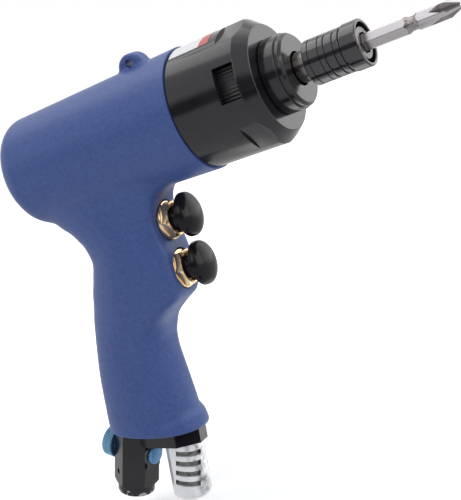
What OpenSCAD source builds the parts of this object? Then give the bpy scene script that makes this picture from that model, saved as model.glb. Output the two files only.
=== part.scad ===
// Pneumatic pistol screwdriver with a quick-change bit holder.
// The barrel axis lies along x, the bit points to +x, the handle hangs towards -z.
// Lengths are in millimetres. The frame stands in the middle of the hanging eye.

/* [Barrel] */
// outer radius of the coated barrel at its front joint
barrel_r = 25; // [24:0.1:27]
// length of the coated barrel
barrel_l = 86; // [84:0.5:92]
// how much the barrel radius shrinks towards the rear
barrel_taper = 2.4; // [1.5:0.1:3]

/* [Front casing] */
// angle the casing pattern is turned about the barrel axis
casing_turn = 12; // [0:1:20]
// how much the casing widens from the joint to its nose cone
casing_flare = 0.6; // [0.3:0.1:0.8]
// length of the casing up to its front face
casing_l = 35.6; // [35.2:0.1:36.4]

/* [Handle] */
// distance from the barrel axis to the lowest handle section
handle_l = 128; // [126:0.5:134]
// half width of the handle
handle_half_w = 16.2; // [15.8:0.1:17.4]
// tilt of the handle's bottom rim
base_tilt = 13.7; // [12:0.1:15]

/* [Buttons] */
// radius of a push button cap
button_r = 9.2; // [8.6:0.1:9.6]
// stroke of a push button
button_stroke = 3; // [2:0.1:3.4]

/* [Air connection] */
// width of the hexagonal inlet block across its flats
inlet_af = 16.8; // [16.4:0.1:17.4]
// lean of the inlet block from the vertical
inlet_lean = 26; // [24:0.5:27]
// turn of the inlet block about its own axis
inlet_turn = -12; // [-16:1:-8]
// bore radius of the threaded air port
port_r = 5.72; // [4.28:0.01:5.8]

/* [Bit holder] */
// width of the driver bit across its flats
bit_af = 6.35; // [6.2:0.05:6.5]
// outer radius of the sliding sleeve
sleeve_r = 8.8; // [8.7:0.05:9.2]
// travel of the sliding sleeve
sleeve_travel = 3; // [2:0.5:3.5]

/* [Hidden] */
round_fn = 96;
small_fn = 48;
cut = 0.6;
fit_gap = 0.05;
free_gap = 0.3;

// hanging eye
eye_x = -20;
eye_rise = 1.1;
eye_z = barrel_r + eye_rise;
eye_r = 1.7;
lug_r = 5.8;
lug_drop = 0.9;
lug_z = barrel_r - lug_drop;
lug_w = 7.5;
lug_edge = 0.9;

// barrel and its bores
barrel_rear_r = barrel_r - barrel_taper;
rear_round = 7;
rear_dome = 1.2;
round_steps = 8;
bay_wall = 4.8;
bay_r = barrel_r - bay_wall;
bay_l = 74;
joint_wall = 2.5;
joint_r = barrel_r - joint_wall;
joint_l = 13;

// handle loft, shares of handle_l and of handle_half_w, from the barrel down
loft_sides = 40;
rear_power = 2.2;
depth_share = [0.0898, 0.1133, 0.1289, 0.1445, 0.1641, 0.1836, 0.1938, 0.2055, 0.2227, 0.2539, 0.2812,
    0.3281, 0.3828, 0.4336, 0.4844, 0.5117, 0.5352, 0.5586, 0.5898, 0.6172, 0.6484, 0.6953, 0.75,
    0.8047, 0.8594, 0.8906, 0.9219, 1];
centre_share = [0.4043, 0.4043, 0.4055, 0.4062, 0.409, 0.4141, 0.4176, 0.4191, 0.4164, 0.4125, 0.4094,
    0.4074, 0.4176, 0.4316, 0.4449, 0.4547, 0.4664, 0.4906, 0.5172, 0.5297, 0.5418, 0.5543, 0.5633,
    0.5719, 0.5801, 0.5832, 0.5781, 0.5777];
half_share = [0.2285, 0.2285, 0.2273, 0.225, 0.2199, 0.2109, 0.202, 0.1902, 0.1758, 0.1602, 0.15,
    0.1457, 0.1582, 0.1707, 0.1793, 0.1828, 0.1805, 0.1633, 0.1469, 0.1438, 0.1426, 0.1457, 0.1516,
    0.1562, 0.1605, 0.1613, 0.1648, 0.1652];
width_share = [1.21, 1.151, 1.086, 1.046, 1.03, 1.025, 1.025, 1.022, 1.02, 1.012, 1.01, 1.01, 1.008,
    1.006, 1, 0.995, 0.985, 0.98, 0.97, 0.964, 0.96, 0.957, 0.965, 0.98, 1, 1.012, 1.025, 1.037];
// how square the front of each section is, and how much it narrows
front_powers = [2.6, 3, 3.4, 4, 5, 6, 7, 7, 7, 7, 7, 7, 7, 7, 7, 6, 5, 3.8, 2.9, 2.5, 2.3, 2.25, 2.2,
    2.2, 2.2, 2.1, 2.1, 2.1];
narrow_share = [0.1, 0.1, 0.12, 0.14, 0.16, 0.2, 0.22, 0.22, 0.22, 0.22, 0.22, 0.22, 0.22, 0.22, 0.22,
    0.21, 0.2, 0.17, 0.14, 0.12, 0.12, 0.11, 0.11, 0.1, 0.1, 0.06, 0, 0];

// handle base frame
base_rise = 9.8;
base_share = 0.581;
base_x = -base_share * handle_l;
base_z = base_rise - handle_l;
plate_t = 6.6;
plate_half_w = 9.9;
plate_step = 2.8;
plate_rear = 7.4;
plate_rear_w = 6.9;
plate_front = 19.9;
plate_corner_l = 8.5;
plate_corner_w = 6.6;
socket_t = 6;
socket_w = 10;
socket_rear = 15;
socket_front = 16;

// air passages in the handle
duct_r = 4.5;
duct_top_x = -60;
duct_top_z = -42;
duct_foot_x = -11.5;
outlet_top_x = -60;
outlet_top_z = -78;
outlet_foot_x = 10.5;
feed_r = 3;
feed_x = -53;

// valves and push buttons
valve_dip = 1.2;
upper_share = [-0.2586, -0.2922];
lower_share = [-0.2781, -0.4508];
upper_x = upper_share[0] * handle_l;
upper_z = upper_share[1] * handle_l;
lower_x = lower_share[0] * handle_l;
lower_z = lower_share[1] * handle_l;
flange_r = 8.1;
flange_t = 1.8;
spot_r = 8.6;
hex_af = 14;
hex_t = 2.9;
tail_r = 6;
tail_l = 9.5;
guide_r = 2.58;
mouth_r = 6.2;
mouth_l = 3.9;
hex_round_r = 6.95;
neck_r = 5.25;
cap_back = 9.1;
cap_rim_t = 1.5;
cap_dome = 4;
cap_steps = 7;
hex_end = flange_t + hex_t;
neck_back = hex_end - mouth_l + button_stroke + free_gap;
stem_r = 2.5;
stem_back = 17;
stem_head_r = 4.2;
stem_head_t = 2;
chamber_r = 4.8;
chamber_l = 28;
valve_spring_r = 3.2;
valve_spring_wire = 0.35;
valve_spring_curls = 6;

// casing details
joint_step = 0.8;
casing_r = barrel_r - joint_step;
casing_front_r = casing_r + casing_flare;
cone_x = 30.7;
face_drop = 3.8;
face_r = casing_front_r - face_drop;
casing_wall = 2.9;
casing_bore_r = casing_r - casing_wall;
casing_bore_end = 31;
spigot_gap = 0.1;
spigot_r = joint_r - spigot_gap;
spigot_l = 12;
wrench_cut = 1.3;
wrench_d = casing_front_r - wrench_cut;
wrench_x = 22.9;
window_x = 21.6;
window_wall = 0.2;
window_end = cone_x - window_wall;
window_half = 7;
face_w = 8;
nose_hole_r = face_r - face_w;
flat_spacing = 60;

// nose cap
nose_tail_x = 31.2;
nose_tail_r = nose_hole_r - fit_gap;
neck_lip = 2;
neck_ring_r = nose_hole_r + neck_lip;
neck_edge = 0.35;
nose_groove_x = 42.4;
nose_groove_w = 0.7;
nose_groove_d = 0.7;
nose_disc_r = 14.4;
nose_bevel = 1;
nose_end = 45.2;
nose_bore_r = 6.7;
seat_wall = 1.95;
seat_r = nose_tail_r - seat_wall;
seat_end = 38;

// motor
plate_r = bay_r - fit_gap;
bearing_r = 8;
bearing_bore = 4;
bearing_groove_w = 0.8;
rear_plate_x = -71;
rear_plate_l = 5;
liner_x = -65.9;
liner_l = 35;
liner_wall = 4.65;
liner_bore = plate_r - liner_wall;
liner_shift = 1.2;
rotor_clear = 1.5;
rotor_r = liner_bore - rotor_clear;
rotor_gap = 0.3;
journal_r = bearing_bore - fit_gap;
vane_count = 5;
vane_t = 1.5;
vane_depth = 6;
vane_gap = 0.05;
front_plate_x = -30.8;
front_plate_l = 6;
plate_lip = 1;
lip_r = 5;

// gear set
sun_teeth = 12;
planet_teeth = 15;
ring_teeth = sun_teeth + 2 * planet_teeth;
ring_gear_wall = 1.28;
planet_count = 3;
pressure = 25;
tip_share = 0.9;
root_share = 1.2;
gear_module = (plate_r - ring_gear_wall) / (ring_teeth / 2 + root_share);
backlash = 0.08;
gear_x = -24.6;
gear_l = 16;
sun_l = 13;
planet_x = -22;
planet_l = 10.5;
pin_r = 1.5;
planet_bore = pin_r + fit_gap;
carrier_x = -11;
carrier_l = 4;
carrier_edge = 4.15;
carrier_r = plate_r - carrier_edge;
centre_d = gear_module * (sun_teeth + planet_teeth) / 2;

// clutch
ball_r = 2;
ball_ring_r = 11.5;
ball_count = 6;
pocket_gap = 0.05;
clutch_gap = 2;
clutch_plate_x = carrier_x + carrier_l + clutch_gap;
clutch_plate_l = 4;
clutch_edge = 0.5;
clutch_plate_r = carrier_r - clutch_edge;
washer_t = 1.4;
washer_r = 12.5;
spring_r = 10.2;
spring_wire = 1.1;
spring_curls = 4;
ring_x = 20.4;
ring_l = 10.2;
ring_gap = 0.3;
ring_r = casing_bore_r - ring_gap;
rib_count = 72;
rib_d = 0.5;
rib_w = 0.95;
ring_bore = 8;
spindle_thread_r = ring_bore - fit_gap;

// output spindle and bit holder
spindle_r = 6;
anvil_r = 6.4;
anvil_x = 50.2;
spindle_end = 72.9;
anvil_bevel = 0.5;
socket_gap = 0.05;
socket_bottom = 47;
bit_start = 48;
bit_tip = 111.5;
bit_groove_x = 9.5;
bit_groove_r = 2.65;
bit_groove_w = 4;
bit_groove_slope = 1.4;
bit_corner_share = 1.11;
front_groove_x = 91.4;
front_groove_w = 2.4;
tip_start = 106;
tip_r = 1.2;
flute_x = 99.6;
flute_r = 3.35;
flute_slope = 11.8;
lock_ball_r = 1.7;
lock_ball_x = bit_start + bit_groove_x;
lock_hole_r = 1.8;
lock_ball_c = anvil_r - lock_ball_r;
clip_x = 66.4;
clip_l = 1.2;
clip_r = 7.5;
clip_root = 5.9;
sleeve_x = 50.6;
sleeve_end = 73.5;
sleeve_bore = anvil_r + fit_gap;
sleeve_cave_r = 7.8;
sleeve_rear_l = 2;
hold_x = 55.3;
hold_l = 4.4;
sleeve_rim_r = 9.25;
sleeve_groove_d = 0.35;
sleeve_groove_w = 0.35;
sleeve_rib_d = 0.5;
sleeve_rib_w = 0.8;
chuck_spring_r = 7.1;
chuck_spring_wire = 0.35;
chuck_spring_curls = 3;

// inlet block, frame in the middle of the regulator spool
spool_back = 15.6;
spool_drop = 7.35;
spool_x = base_x - spool_back;
spool_z = base_z - spool_drop;
inlet_hex_end = 15.9;
inlet_end = 19.6;
collar_r = 7.9;
collar_bevel = 0.8;
hex_taper = 2.2;
port_l = 12;
port_mouth = 0.7;
spool_r = 4;
spool_hole_r = spool_r + fit_gap;
spool_waist_r = 2.2;
spool_waist_l = 7;
pin_proud = 2.4;
knob_x = -9.1;
knob_l = 5.2;
knob_r = 7;
knob_bevel = 0.7;
knob_neck_r = 4.4;
knob_neck_gap = 0.3;
ring_clip_r = 5;
ring_clip_t = 0.8;
ring_clip_root = 3.5;
ring_clip_open = 2.3;
ring_clip_leg_w = 1.7;
ring_clip_leg_l = 5.6;
ring_clip_gap = 0.3;
bleed_r = 1.3;
bleed_l = 1.8;
bleed_drop = 9.4;
screen_t = 1;
screen_r = 5;
screen_hole = 0.6;
screen_ring = 1.1;

// muffler
muffler_x = 10.1;
muffler_a = 8;
muffler_b = 8.5;
muffler_l = 24.2;
muffler_wall = 1.1;
muffler_round = 2.2;
muffler_slots = 4;
slot_first = 2.95;
slot_pitch = 4.4;
slot_h = 1.75;
slot_floor = 6.8;
slot_lean = 11;
slot_turn = 26;
slot_left = 3.3;
muffler_neck_r = 5.4;
muffler_neck_l = 5;
felt_gap = 0.4;
felt_top = 2;
felt_bottom = 2;

// base screws
screw_r = 1.5;
screw_head_r = 2.7;
screw_head_t = 1.8;
screw_l = 12;
screw_x = -1.2;
screw_y = 6.7;
screw_key = 2;
screw_key_t = 1.1;

blue = [0.25, 0.33, 0.55];
dark = [0.1, 0.1, 0.11];
steel = [0.72, 0.72, 0.74];
brass = [0.8, 0.65, 0.4];
pale_blue = [0.4, 0.65, 0.82];

// turns a form drawn along z so that it lies along x
module along_x() {
  rotate([0, 90, 0]) children();
}

// a round rod along x from one place to another
module rod(from_x, to_x, r) {
  translate([from_x, 0, 0]) along_x() cylinder(h = to_x - from_x, r = r, $fn = round_fn);
}

// a cone along x
module cone_x_rod(from_x, to_x, r_from, r_to) {
  translate([from_x, 0, 0]) along_x() cylinder(h = to_x - from_x, r1 = r_from, r2 = r_to, $fn = round_fn);
}

// a plate with a hexagonal section along z
module hexagon(af, h) {
  rotate([0, 0, 30]) cylinder(h = h, d = af / cos(30), $fn = 6);
}

// a wound round wire along z
module coil(mean_r, wire_r, curls, length) {
  sides = 6;
  rings_per_curl = 12;
  rings = curls * rings_per_curl;
  rise = (length - 2 * wire_r) / rings;
  points = [for (i = [0 : rings]) for (j = [0 : sides - 1])
    let (a = i * 360 / rings_per_curl, b = j * 360 / sides, r = mean_r + wire_r * cos(b))
    [r * cos(a), r * sin(a), wire_r + i * rise + wire_r * sin(b)]];
  skin = [for (i = [0 : rings - 1]) for (j = [0 : sides - 1])
    let (k = (j + 1) % sides, p = i * sides, q = (i + 1) * sides)
    each [[p + j, q + j, q + k], [p + j, q + k, p + k]]];
  first = [for (j = [0 : sides - 1]) j];
  last = [for (j = [0 : sides - 1]) rings * sides + sides - 1 - j];
  polyhedron(points = points, faces = concat([first], skin, [last]));
}

function swell(v, power) = sign(v) * pow(abs(v), 2 / power);

// a point of a handle section: round at the rear, squarer and narrower at the front
function handle_point(i, a) =
  let (power = cos(a) > 0 ? front_powers[i] : rear_power, x = swell(cos(a), power))
  [handle_l * (half_share[i] * x - centre_share[i]),
    width_share[i] * handle_half_w * swell(sin(a), power) * (1 - narrow_share[i] * max(0, x)),
    -depth_share[i] * handle_l];

// the curved handle, a chain of sections
module handle_form() {
  n = loft_sides;
  last = len(depth_share) - 1;
  points = [for (i = [0 : last]) for (j = [0 : n - 1]) handle_point(i, j * 360 / n)];
  skin = [for (i = [0 : last - 1]) for (j = [0 : n - 1])
    let (k = (j + 1) % n, p = i * n, q = (i + 1) * n)
    each [[p + j, q + k, q + j], [p + j, p + k, q + k]]];
  top = [for (j = [0 : n - 1]) n - 1 - j];
  bottom = [for (j = [0 : n - 1]) last * n + j];
  polyhedron(points = points, faces = concat([top], skin, [bottom]));
}

// places a form in the frame of the handle's bottom rim
module at_base() {
  translate([base_x, 0, base_z]) rotate([0, base_tilt, 0]) children();
}

// places a form drawn along z on a valve axis, outwards being +z
module at_valve(x, z) {
  translate([x, 0, z]) rotate([0, 90 + valve_dip, 0]) children();
}

// places a form in the frame of the inlet block, its axis along z, mouth downwards
module at_inlet() {
  translate([spool_x, 0, spool_z]) rotate([0, inlet_lean, 0]) rotate([0, 0, inlet_turn]) children();
}

module barrel_form() {
  c = barrel_rear_r - rear_round;
  arc = [for (i = [0 : round_steps])
    let (a = i * 90 / round_steps)
    [c + rear_round * sin(a), rear_round - rear_round * cos(a)]];
  translate([-barrel_l, 0, 0]) along_x() rotate_extrude($fn = round_fn)
    polygon(concat([[0, -rear_dome], [c / 2, -rear_dome / 2]], arc, [[barrel_r, barrel_l], [0, barrel_l]]));
}

module lug_form() {
  translate([eye_x, lug_w / 2, lug_z]) rotate([90, 0, 0]) {
    cylinder(h = lug_edge, r1 = lug_r - lug_edge, r2 = lug_r, $fn = small_fn);
    translate([0, 0, lug_edge]) cylinder(h = lug_w - 2 * lug_edge, r = lug_r, $fn = small_fn);
    translate([0, 0, lug_w - lug_edge]) cylinder(h = lug_edge, r1 = lug_r, r2 = lug_r - lug_edge, $fn = small_fn);
  }
}

// a straight duct between two points in the middle plane
module duct(x1, z1, x2, z2, r) {
  length = norm([x2 - x1, z2 - z1]);
  translate([x1, 0, z1]) rotate([0, atan2(x2 - x1, z2 - z1), 0]) cylinder(h = length, r = r, $fn = small_fn);
}

module valve_hole(x, z) {
  at_valve(x, z) {
    cylinder(h = spot_r, r = spot_r, $fn = small_fn);
    translate([0, 0, -tail_l - cut]) cylinder(h = tail_l + 2 * cut, r = tail_r + fit_gap, $fn = small_fn);
    translate([0, 0, -chamber_l]) cylinder(h = chamber_l, r = chamber_r, $fn = small_fn);
  }
}

module pistol_housing() {
  color(blue)
  difference() {
    union() {
      barrel_form();
      lug_form();
      difference() {
        handle_form();
        at_base() translate([-handle_l, -handle_l / 2, -handle_l]) cube([2 * handle_l, handle_l, handle_l]);
      }
    }
    translate([eye_x, handle_l / 2, eye_z]) rotate([90, 0, 0]) cylinder(h = handle_l, r = eye_r, $fn = small_fn);
    rod(-bay_l, cut, bay_r);
    rod(-joint_l, cut, joint_r);
    valve_hole(upper_x, upper_z);
    valve_hole(lower_x, lower_z);
    at_base() translate([0, 0, -cut]) socket_form(socket_t + cut + fit_gap, fit_gap);
    duct(base_x + duct_foot_x, base_z, duct_top_x, duct_top_z, duct_r);
    duct(base_x + outlet_foot_x, base_z, outlet_top_x, outlet_top_z, duct_r);
    duct(feed_x, upper_z, feed_x, 0, feed_r);
    for (s = [-1, 1])
      at_base() translate([screw_x, s * screw_y, -cut]) cylinder(h = screw_l + cut, r = screw_r + fit_gap, $fn = small_fn);
  }
}

// the raised part of the base plate that enters the handle
module socket_form(h, gap) {
  translate([-socket_rear - gap, -socket_w / 2 - gap, 0])
    cube([socket_rear + socket_front + 2 * gap, socket_w + 2 * gap, h]);
}

// a slab that removes everything beyond a flat, its normal turned up from the near side
module flat_cut(angle, d, from_x, to_x) {
  rotate([-angle, 0, 0]) translate([from_x, -2 * barrel_r, -barrel_r])
    cube([to_x - from_x, 2 * barrel_r - d, 2 * barrel_r]);
}

module front_casing() {
  color(dark)
  difference() {
    union() {
      cone_x_rod(0, cone_x, casing_r, casing_front_r);
      cone_x_rod(cone_x, casing_l, casing_front_r, face_r);
      rod(-spigot_l, 0, spigot_r);
    }
    rod(-spigot_l - cut, casing_bore_end, casing_bore_r);
    rod(0, casing_l + cut, nose_hole_r);
    for (i = [1, 2, 4, 5])
      flat_cut(casing_turn + i * flat_spacing, wrench_d, wrench_x, casing_l + cut);
    rotate([-casing_turn, 0, 0]) translate([window_x, -2 * barrel_r, -window_half])
      cube([window_end - window_x, 2 * barrel_r, 2 * window_half]);
  }
}

module nose_cap() {
  disc_x = nose_groove_x + nose_groove_w;
  color(dark)
  difference() {
    union() {
      rod(nose_tail_x, casing_l, nose_tail_r);
      cone_x_rod(casing_l, casing_l + neck_edge, neck_ring_r - neck_edge, neck_ring_r);
      rod(casing_l + neck_edge, nose_groove_x, neck_ring_r);
      rod(nose_groove_x, disc_x, neck_ring_r - nose_groove_d);
      rod(disc_x, nose_end - nose_bevel, nose_disc_r);
      cone_x_rod(nose_end - nose_bevel, nose_end, nose_disc_r, nose_disc_r - nose_bevel);
    }
    rod(nose_tail_x - cut, seat_end, seat_r + fit_gap);
    rod(nose_tail_x, nose_end + cut, nose_bore_r);
  }
}

// a closed ball bearing with a shallow groove in each face
module bearing(x, length, outer, bore) {
  mid = (outer + bore) / 2;
  difference() {
    rod(x, x + length, outer);
    rod(x - cut, x + length + cut, bore);
    for (s = [x - cut, x + length - bearing_groove_w / 2])
      difference() {
        rod(s, s + cut + bearing_groove_w / 2, mid + bearing_groove_w);
        rod(s - cut, s + 2 * cut + bearing_groove_w, mid - bearing_groove_w);
      }
  }
}

module spindle_bearing() {
  color(steel) bearing(nose_tail_x + cut, seat_end - nose_tail_x - cut, seat_r, spindle_r + fit_gap);
}

module torque_ring() {
  color(dark)
  difference() {
    rod(ring_x, ring_x + ring_l, ring_r);
    rod(ring_x - cut, ring_x + ring_l + cut, ring_bore);
    for (i = [0 : rib_count - 1])
      rotate([i * 360 / rib_count, 0, 0]) translate([ring_x - cut, ring_r - rib_d, 0]) rotate([0, 90, 0])
        rotate([0, 0, 45]) cube([rib_w, rib_w, ring_l + 2 * cut]);
  }
}

module output_spindle() {
  color(steel)
  difference() {
    union() {
      rod(clutch_plate_x - clutch_gap / 2, ring_x + ring_l + free_gap, spindle_thread_r);
      rod(ring_x + ring_l, anvil_x, spindle_r);
      rod(anvil_x, spindle_end - anvil_bevel, anvil_r);
      cone_x_rod(spindle_end - anvil_bevel, spindle_end, anvil_r, anvil_r - anvil_bevel);
    }
    translate([socket_bottom, 0, 0]) along_x() hexagon(bit_af + 2 * socket_gap, spindle_end - socket_bottom + cut);
    for (s = [0, 180])
      rotate([s, 0, 0]) translate([lock_ball_x, 0, 0]) cylinder(h = anvil_r + cut, r = lock_hole_r, $fn = small_fn);
    difference() {
      rod(clip_x, clip_x + clip_l, anvil_r + cut);
      rod(clip_x - cut, clip_x + clip_l + cut, clip_root);
    }
  }
}

module lock_balls() {
  color(steel)
  for (s = [0, 180])
    rotate([s, 0, 0]) translate([lock_ball_x, 0, lock_ball_c]) sphere(r = lock_ball_r, $fn = small_fn);
}

module chuck_clip() {
  color(dark)
  difference() {
    rod(clip_x + fit_gap, clip_x + clip_l - fit_gap, clip_r);
    rod(clip_x - cut, clip_x + clip_l + cut, clip_root + fit_gap);
    translate([clip_x - cut, -screw_r, 0]) cube([clip_l + 2 * cut, 2 * screw_r, clip_r + cut]);
  }
}

module chuck_spring() {
  from_x = hold_x + hold_l + fit_gap;
  color(steel) translate([from_x, 0, 0]) along_x()
    coil(chuck_spring_r, chuck_spring_wire, chuck_spring_curls, clip_x - from_x);
}

module sleeve_groove(x, w, d) {
  difference() {
    rod(x, x + w, sleeve_rim_r + cut);
    rod(x - cut, x + w + cut, sleeve_r - d);
  }
}

module chuck_sleeve() {
  rim_x = sleeve_end - 4 * sleeve_rib_w;
  color(dark)
  difference() {
    union() {
      cone_x_rod(sleeve_x, sleeve_x + sleeve_rib_d, sleeve_r - sleeve_rib_d, sleeve_r);
      rod(sleeve_x + sleeve_rib_d, rim_x, sleeve_r);
      cone_x_rod(rim_x - sleeve_rib_d, rim_x, sleeve_r, sleeve_rim_r);
      rod(rim_x, sleeve_end - sleeve_rib_d, sleeve_rim_r);
      cone_x_rod(sleeve_end - sleeve_rib_d, sleeve_end, sleeve_rim_r, sleeve_rim_r - sleeve_rib_d);
    }
    rod(sleeve_x - cut, sleeve_end, sleeve_bore);
    rod(sleeve_x + sleeve_rear_l, hold_x, sleeve_cave_r);
    rod(hold_x + hold_l, sleeve_end + cut, sleeve_cave_r);
    sleeve_groove(sleeve_x + 4 * sleeve_rib_w, sleeve_groove_w, sleeve_groove_d);
    sleeve_groove(sleeve_x + 7 * sleeve_rib_w, sleeve_groove_w, sleeve_groove_d);
    for (i = [1 : 3])
      sleeve_groove(rim_x - sleeve_rib_d - (3 * i - 1) * sleeve_rib_w, sleeve_rib_w, sleeve_rib_d);
  }
}

module bit_groove(x, w) {
  difference() {
    rod(x - w / 2 - bit_groove_slope, x + w / 2 + bit_groove_slope, bit_af);
    rod(x - w / 2 - cut, x + w / 2 + cut, bit_groove_r);
    cone_x_rod(x - w / 2 - bit_groove_slope, x - w / 2, bit_groove_r + bit_groove_slope, bit_groove_r);
    cone_x_rod(x + w / 2, x + w / 2 + bit_groove_slope, bit_groove_r, bit_groove_r + bit_groove_slope);
  }
}

module driver_bit() {
  corner_r = bit_af / 2 * bit_corner_share;
  color(steel)
  difference() {
    intersection() {
      translate([bit_start, 0, 0]) along_x() hexagon(bit_af, bit_tip - bit_start);
      union() {
        rod(bit_start, tip_start, corner_r);
        cone_x_rod(tip_start, bit_tip, corner_r, tip_r);
      }
    }
    bit_groove(lock_ball_x, bit_groove_w);
    bit_groove(front_groove_x, front_groove_w);
    for (i = [0 : 3])
      rotate([i * 90, 0, 0]) translate([flute_x, 0, flute_r]) rotate([0, flute_slope, 0]) rotate([45, 0, 0])
        cube([bit_tip - flute_x + bit_af, bit_af, bit_af]);
  }
}

module valve_bush(x, z) {
  color(brass)
  at_valve(x, z)
  difference() {
    union() {
      translate([0, 0, -tail_l]) cylinder(h = tail_l + flange_t, r = tail_r, $fn = small_fn);
      cylinder(h = flange_t, r = flange_r, $fn = small_fn);
      intersection() {
        translate([0, 0, flange_t]) hexagon(hex_af, hex_t);
        cylinder(h = hex_end, r1 = hex_round_r + hex_end, r2 = hex_round_r, $fn = small_fn);
      }
    }
    translate([0, 0, -tail_l - cut]) cylinder(h = 2 * tail_l, r = guide_r, $fn = small_fn);
    translate([0, 0, hex_end - mouth_l]) cylinder(h = mouth_l + cut, r = mouth_r, $fn = small_fn);
  }
}

module upper_valve_bush() {
  valve_bush(upper_x, upper_z);
}

module lower_valve_bush() {
  valve_bush(lower_x, lower_z);
}

// black mushroom cap with its collar
module button(x, z) {
  rim_end = cap_back + cap_rim_t;
  dome = [for (i = [0 : cap_steps])
    let (a = i * 90 / cap_steps)
    [button_r * cos(a), rim_end + cap_dome * sin(a)]];
  color(dark)
  at_valve(x, z) {
    difference() {
      rotate_extrude($fn = small_fn)
        polygon(concat([[0, neck_back], [neck_r, neck_back], [neck_r, cap_back], [button_r - cut, cap_back],
          [button_r, cap_back + cut]], dome));
      translate([0, 0, neck_back - cut]) cylinder(h = cap_back - neck_back + cut, r = stem_r + fit_gap, $fn = small_fn);
    }
  }
}

module upper_button() {
  button(upper_x, upper_z);
}

module lower_button() {
  button(lower_x, lower_z);
}

module valve_stem(x, z) {
  color(steel)
  at_valve(x, z) {
    translate([0, 0, -stem_back]) cylinder(h = stem_back + cap_back - fit_gap, r = stem_r, $fn = small_fn);
    translate([0, 0, -stem_back]) cylinder(h = stem_head_t, r = stem_head_r, $fn = small_fn);
  }
}

module upper_valve_stem() {
  valve_stem(upper_x, upper_z);
}

module lower_valve_stem() {
  valve_stem(lower_x, lower_z);
}

module valve_spring(x, z) {
  color(steel)
  at_valve(x, z) translate([0, 0, -chamber_l + fit_gap])
    coil(valve_spring_r, valve_spring_wire, valve_spring_curls, chamber_l - stem_back - 2 * fit_gap);
}

module upper_valve_spring() {
  valve_spring(upper_x, upper_z);
}

module lower_valve_spring() {
  valve_spring(lower_x, lower_z);
}

module plate_outline() {
  end_w = plate_half_w - plate_corner_w;
  corner_x = plate_front - plate_corner_l;
  polygon([[-plate_rear, -plate_rear_w], [-plate_step, -plate_half_w], [corner_x, -plate_half_w],
    [plate_front, -end_w], [plate_front, end_w], [corner_x, plate_half_w],
    [-plate_step, plate_half_w], [-plate_rear, plate_rear_w]]);
}

module base_plate() {
  color(dark)
  difference() {
    union() {
      difference() {
        at_base() translate([0, 0, -plate_t]) linear_extrude(plate_t) plate_outline();
        at_inlet() translate([0, 0, -inlet_end]) hexagon(inlet_af + 2 * fit_gap, 2 * inlet_end);
      }
      at_base() socket_form(socket_t, 0);
    }
    duct(base_x + duct_foot_x, base_z - plate_t, duct_top_x, duct_top_z, duct_r);
    at_inlet() cylinder(h = inlet_end, r = duct_r - cut, $fn = small_fn);
    at_base() translate([muffler_x, 0, -plate_t - cut])
      cylinder(h = muffler_neck_l + cut + fit_gap, r = muffler_neck_r + fit_gap, $fn = small_fn);
    at_base() translate([muffler_x, 0, -plate_t]) cylinder(h = plate_t + socket_t + cut, r = duct_r, $fn = small_fn);
    for (s = [-1, 1])
      at_base() translate([screw_x, s * screw_y, -plate_t - cut]) {
        cylinder(h = plate_t + 2 * cut, r = screw_r + fit_gap, $fn = small_fn);
        cylinder(h = screw_head_t + cut + fit_gap, r = screw_head_r + fit_gap, $fn = small_fn);
      }
  }
}

module base_screws() {
  color(steel)
  for (s = [-1, 1])
    at_base() translate([screw_x, s * screw_y, -plate_t])
      difference() {
        union() {
          cylinder(h = screw_head_t, r = screw_head_r, $fn = small_fn);
          cylinder(h = plate_t + screw_l - cut, r = screw_r, $fn = small_fn);
        }
        translate([0, 0, -cut]) hexagon(screw_key, screw_key_t + cut);
      }
}

module inlet_block() {
  lower_r = inlet_af / 2 / cos(30) + cut;
  color(dark)
  difference() {
    at_inlet() {
      translate([0, 0, -inlet_end + collar_bevel]) cylinder(h = inlet_end - inlet_hex_end, r = collar_r, $fn = round_fn);
      translate([0, 0, -inlet_end]) cylinder(h = collar_bevel, r1 = collar_r - collar_bevel, r2 = collar_r, $fn = round_fn);
      intersection() {
        translate([0, 0, -inlet_hex_end]) hexagon(inlet_af, 2 * inlet_hex_end);
        union() {
          translate([0, 0, -inlet_hex_end]) cylinder(h = hex_taper, r1 = collar_r - fit_gap, r2 = lower_r, $fn = round_fn);
          translate([0, 0, -inlet_hex_end + hex_taper]) cylinder(h = 2 * inlet_end, r = lower_r, $fn = round_fn);
        }
      }
    }
    at_base() translate([-handle_l, -handle_l / 2, 0]) cube([2 * handle_l, handle_l, handle_l]);
    at_inlet() {
      translate([0, 0, -inlet_end - cut]) cylinder(h = port_l + cut, r = port_r, $fn = round_fn);
      translate([0, 0, -inlet_end - cut]) cylinder(h = port_mouth + cut, r1 = port_r + port_mouth + cut, r2 = port_r, $fn = round_fn);
      translate([0, 0, -inlet_end]) cylinder(h = port_l + screen_t, r = screen_r, $fn = small_fn);
      translate([0, 0, -inlet_end]) cylinder(h = 2 * inlet_end, r = duct_r - cut, $fn = small_fn);
      translate([-inlet_af, 0, 0]) along_x() cylinder(h = 2 * inlet_af, r = spool_hole_r, $fn = small_fn);
      rotate([0, 0, -120]) translate([inlet_af / 2 - bleed_l, 0, -bleed_drop]) along_x()
        cylinder(h = bleed_l + cut, r = bleed_r, $fn = small_fn);
    }
  }
}

module inlet_screen() {
  top = port_l - inlet_end + screen_t - fit_gap;
  color(steel)
  at_inlet()
  difference() {
    translate([0, 0, top - screen_t]) cylinder(h = screen_t, r = screen_r - fit_gap, $fn = small_fn);
    for (ring = [0 : 2])
      for (i = [0 : max(0, 6 * ring - 1)])
        rotate([0, 0, i * 360 / max(1, 6 * ring)])
          translate([ring * (screen_ring + screen_hole / 2), 0, top - screen_t - cut])
            cylinder(h = screen_t + 2 * cut, r = screen_hole, $fn = 12);
  }
}

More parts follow.
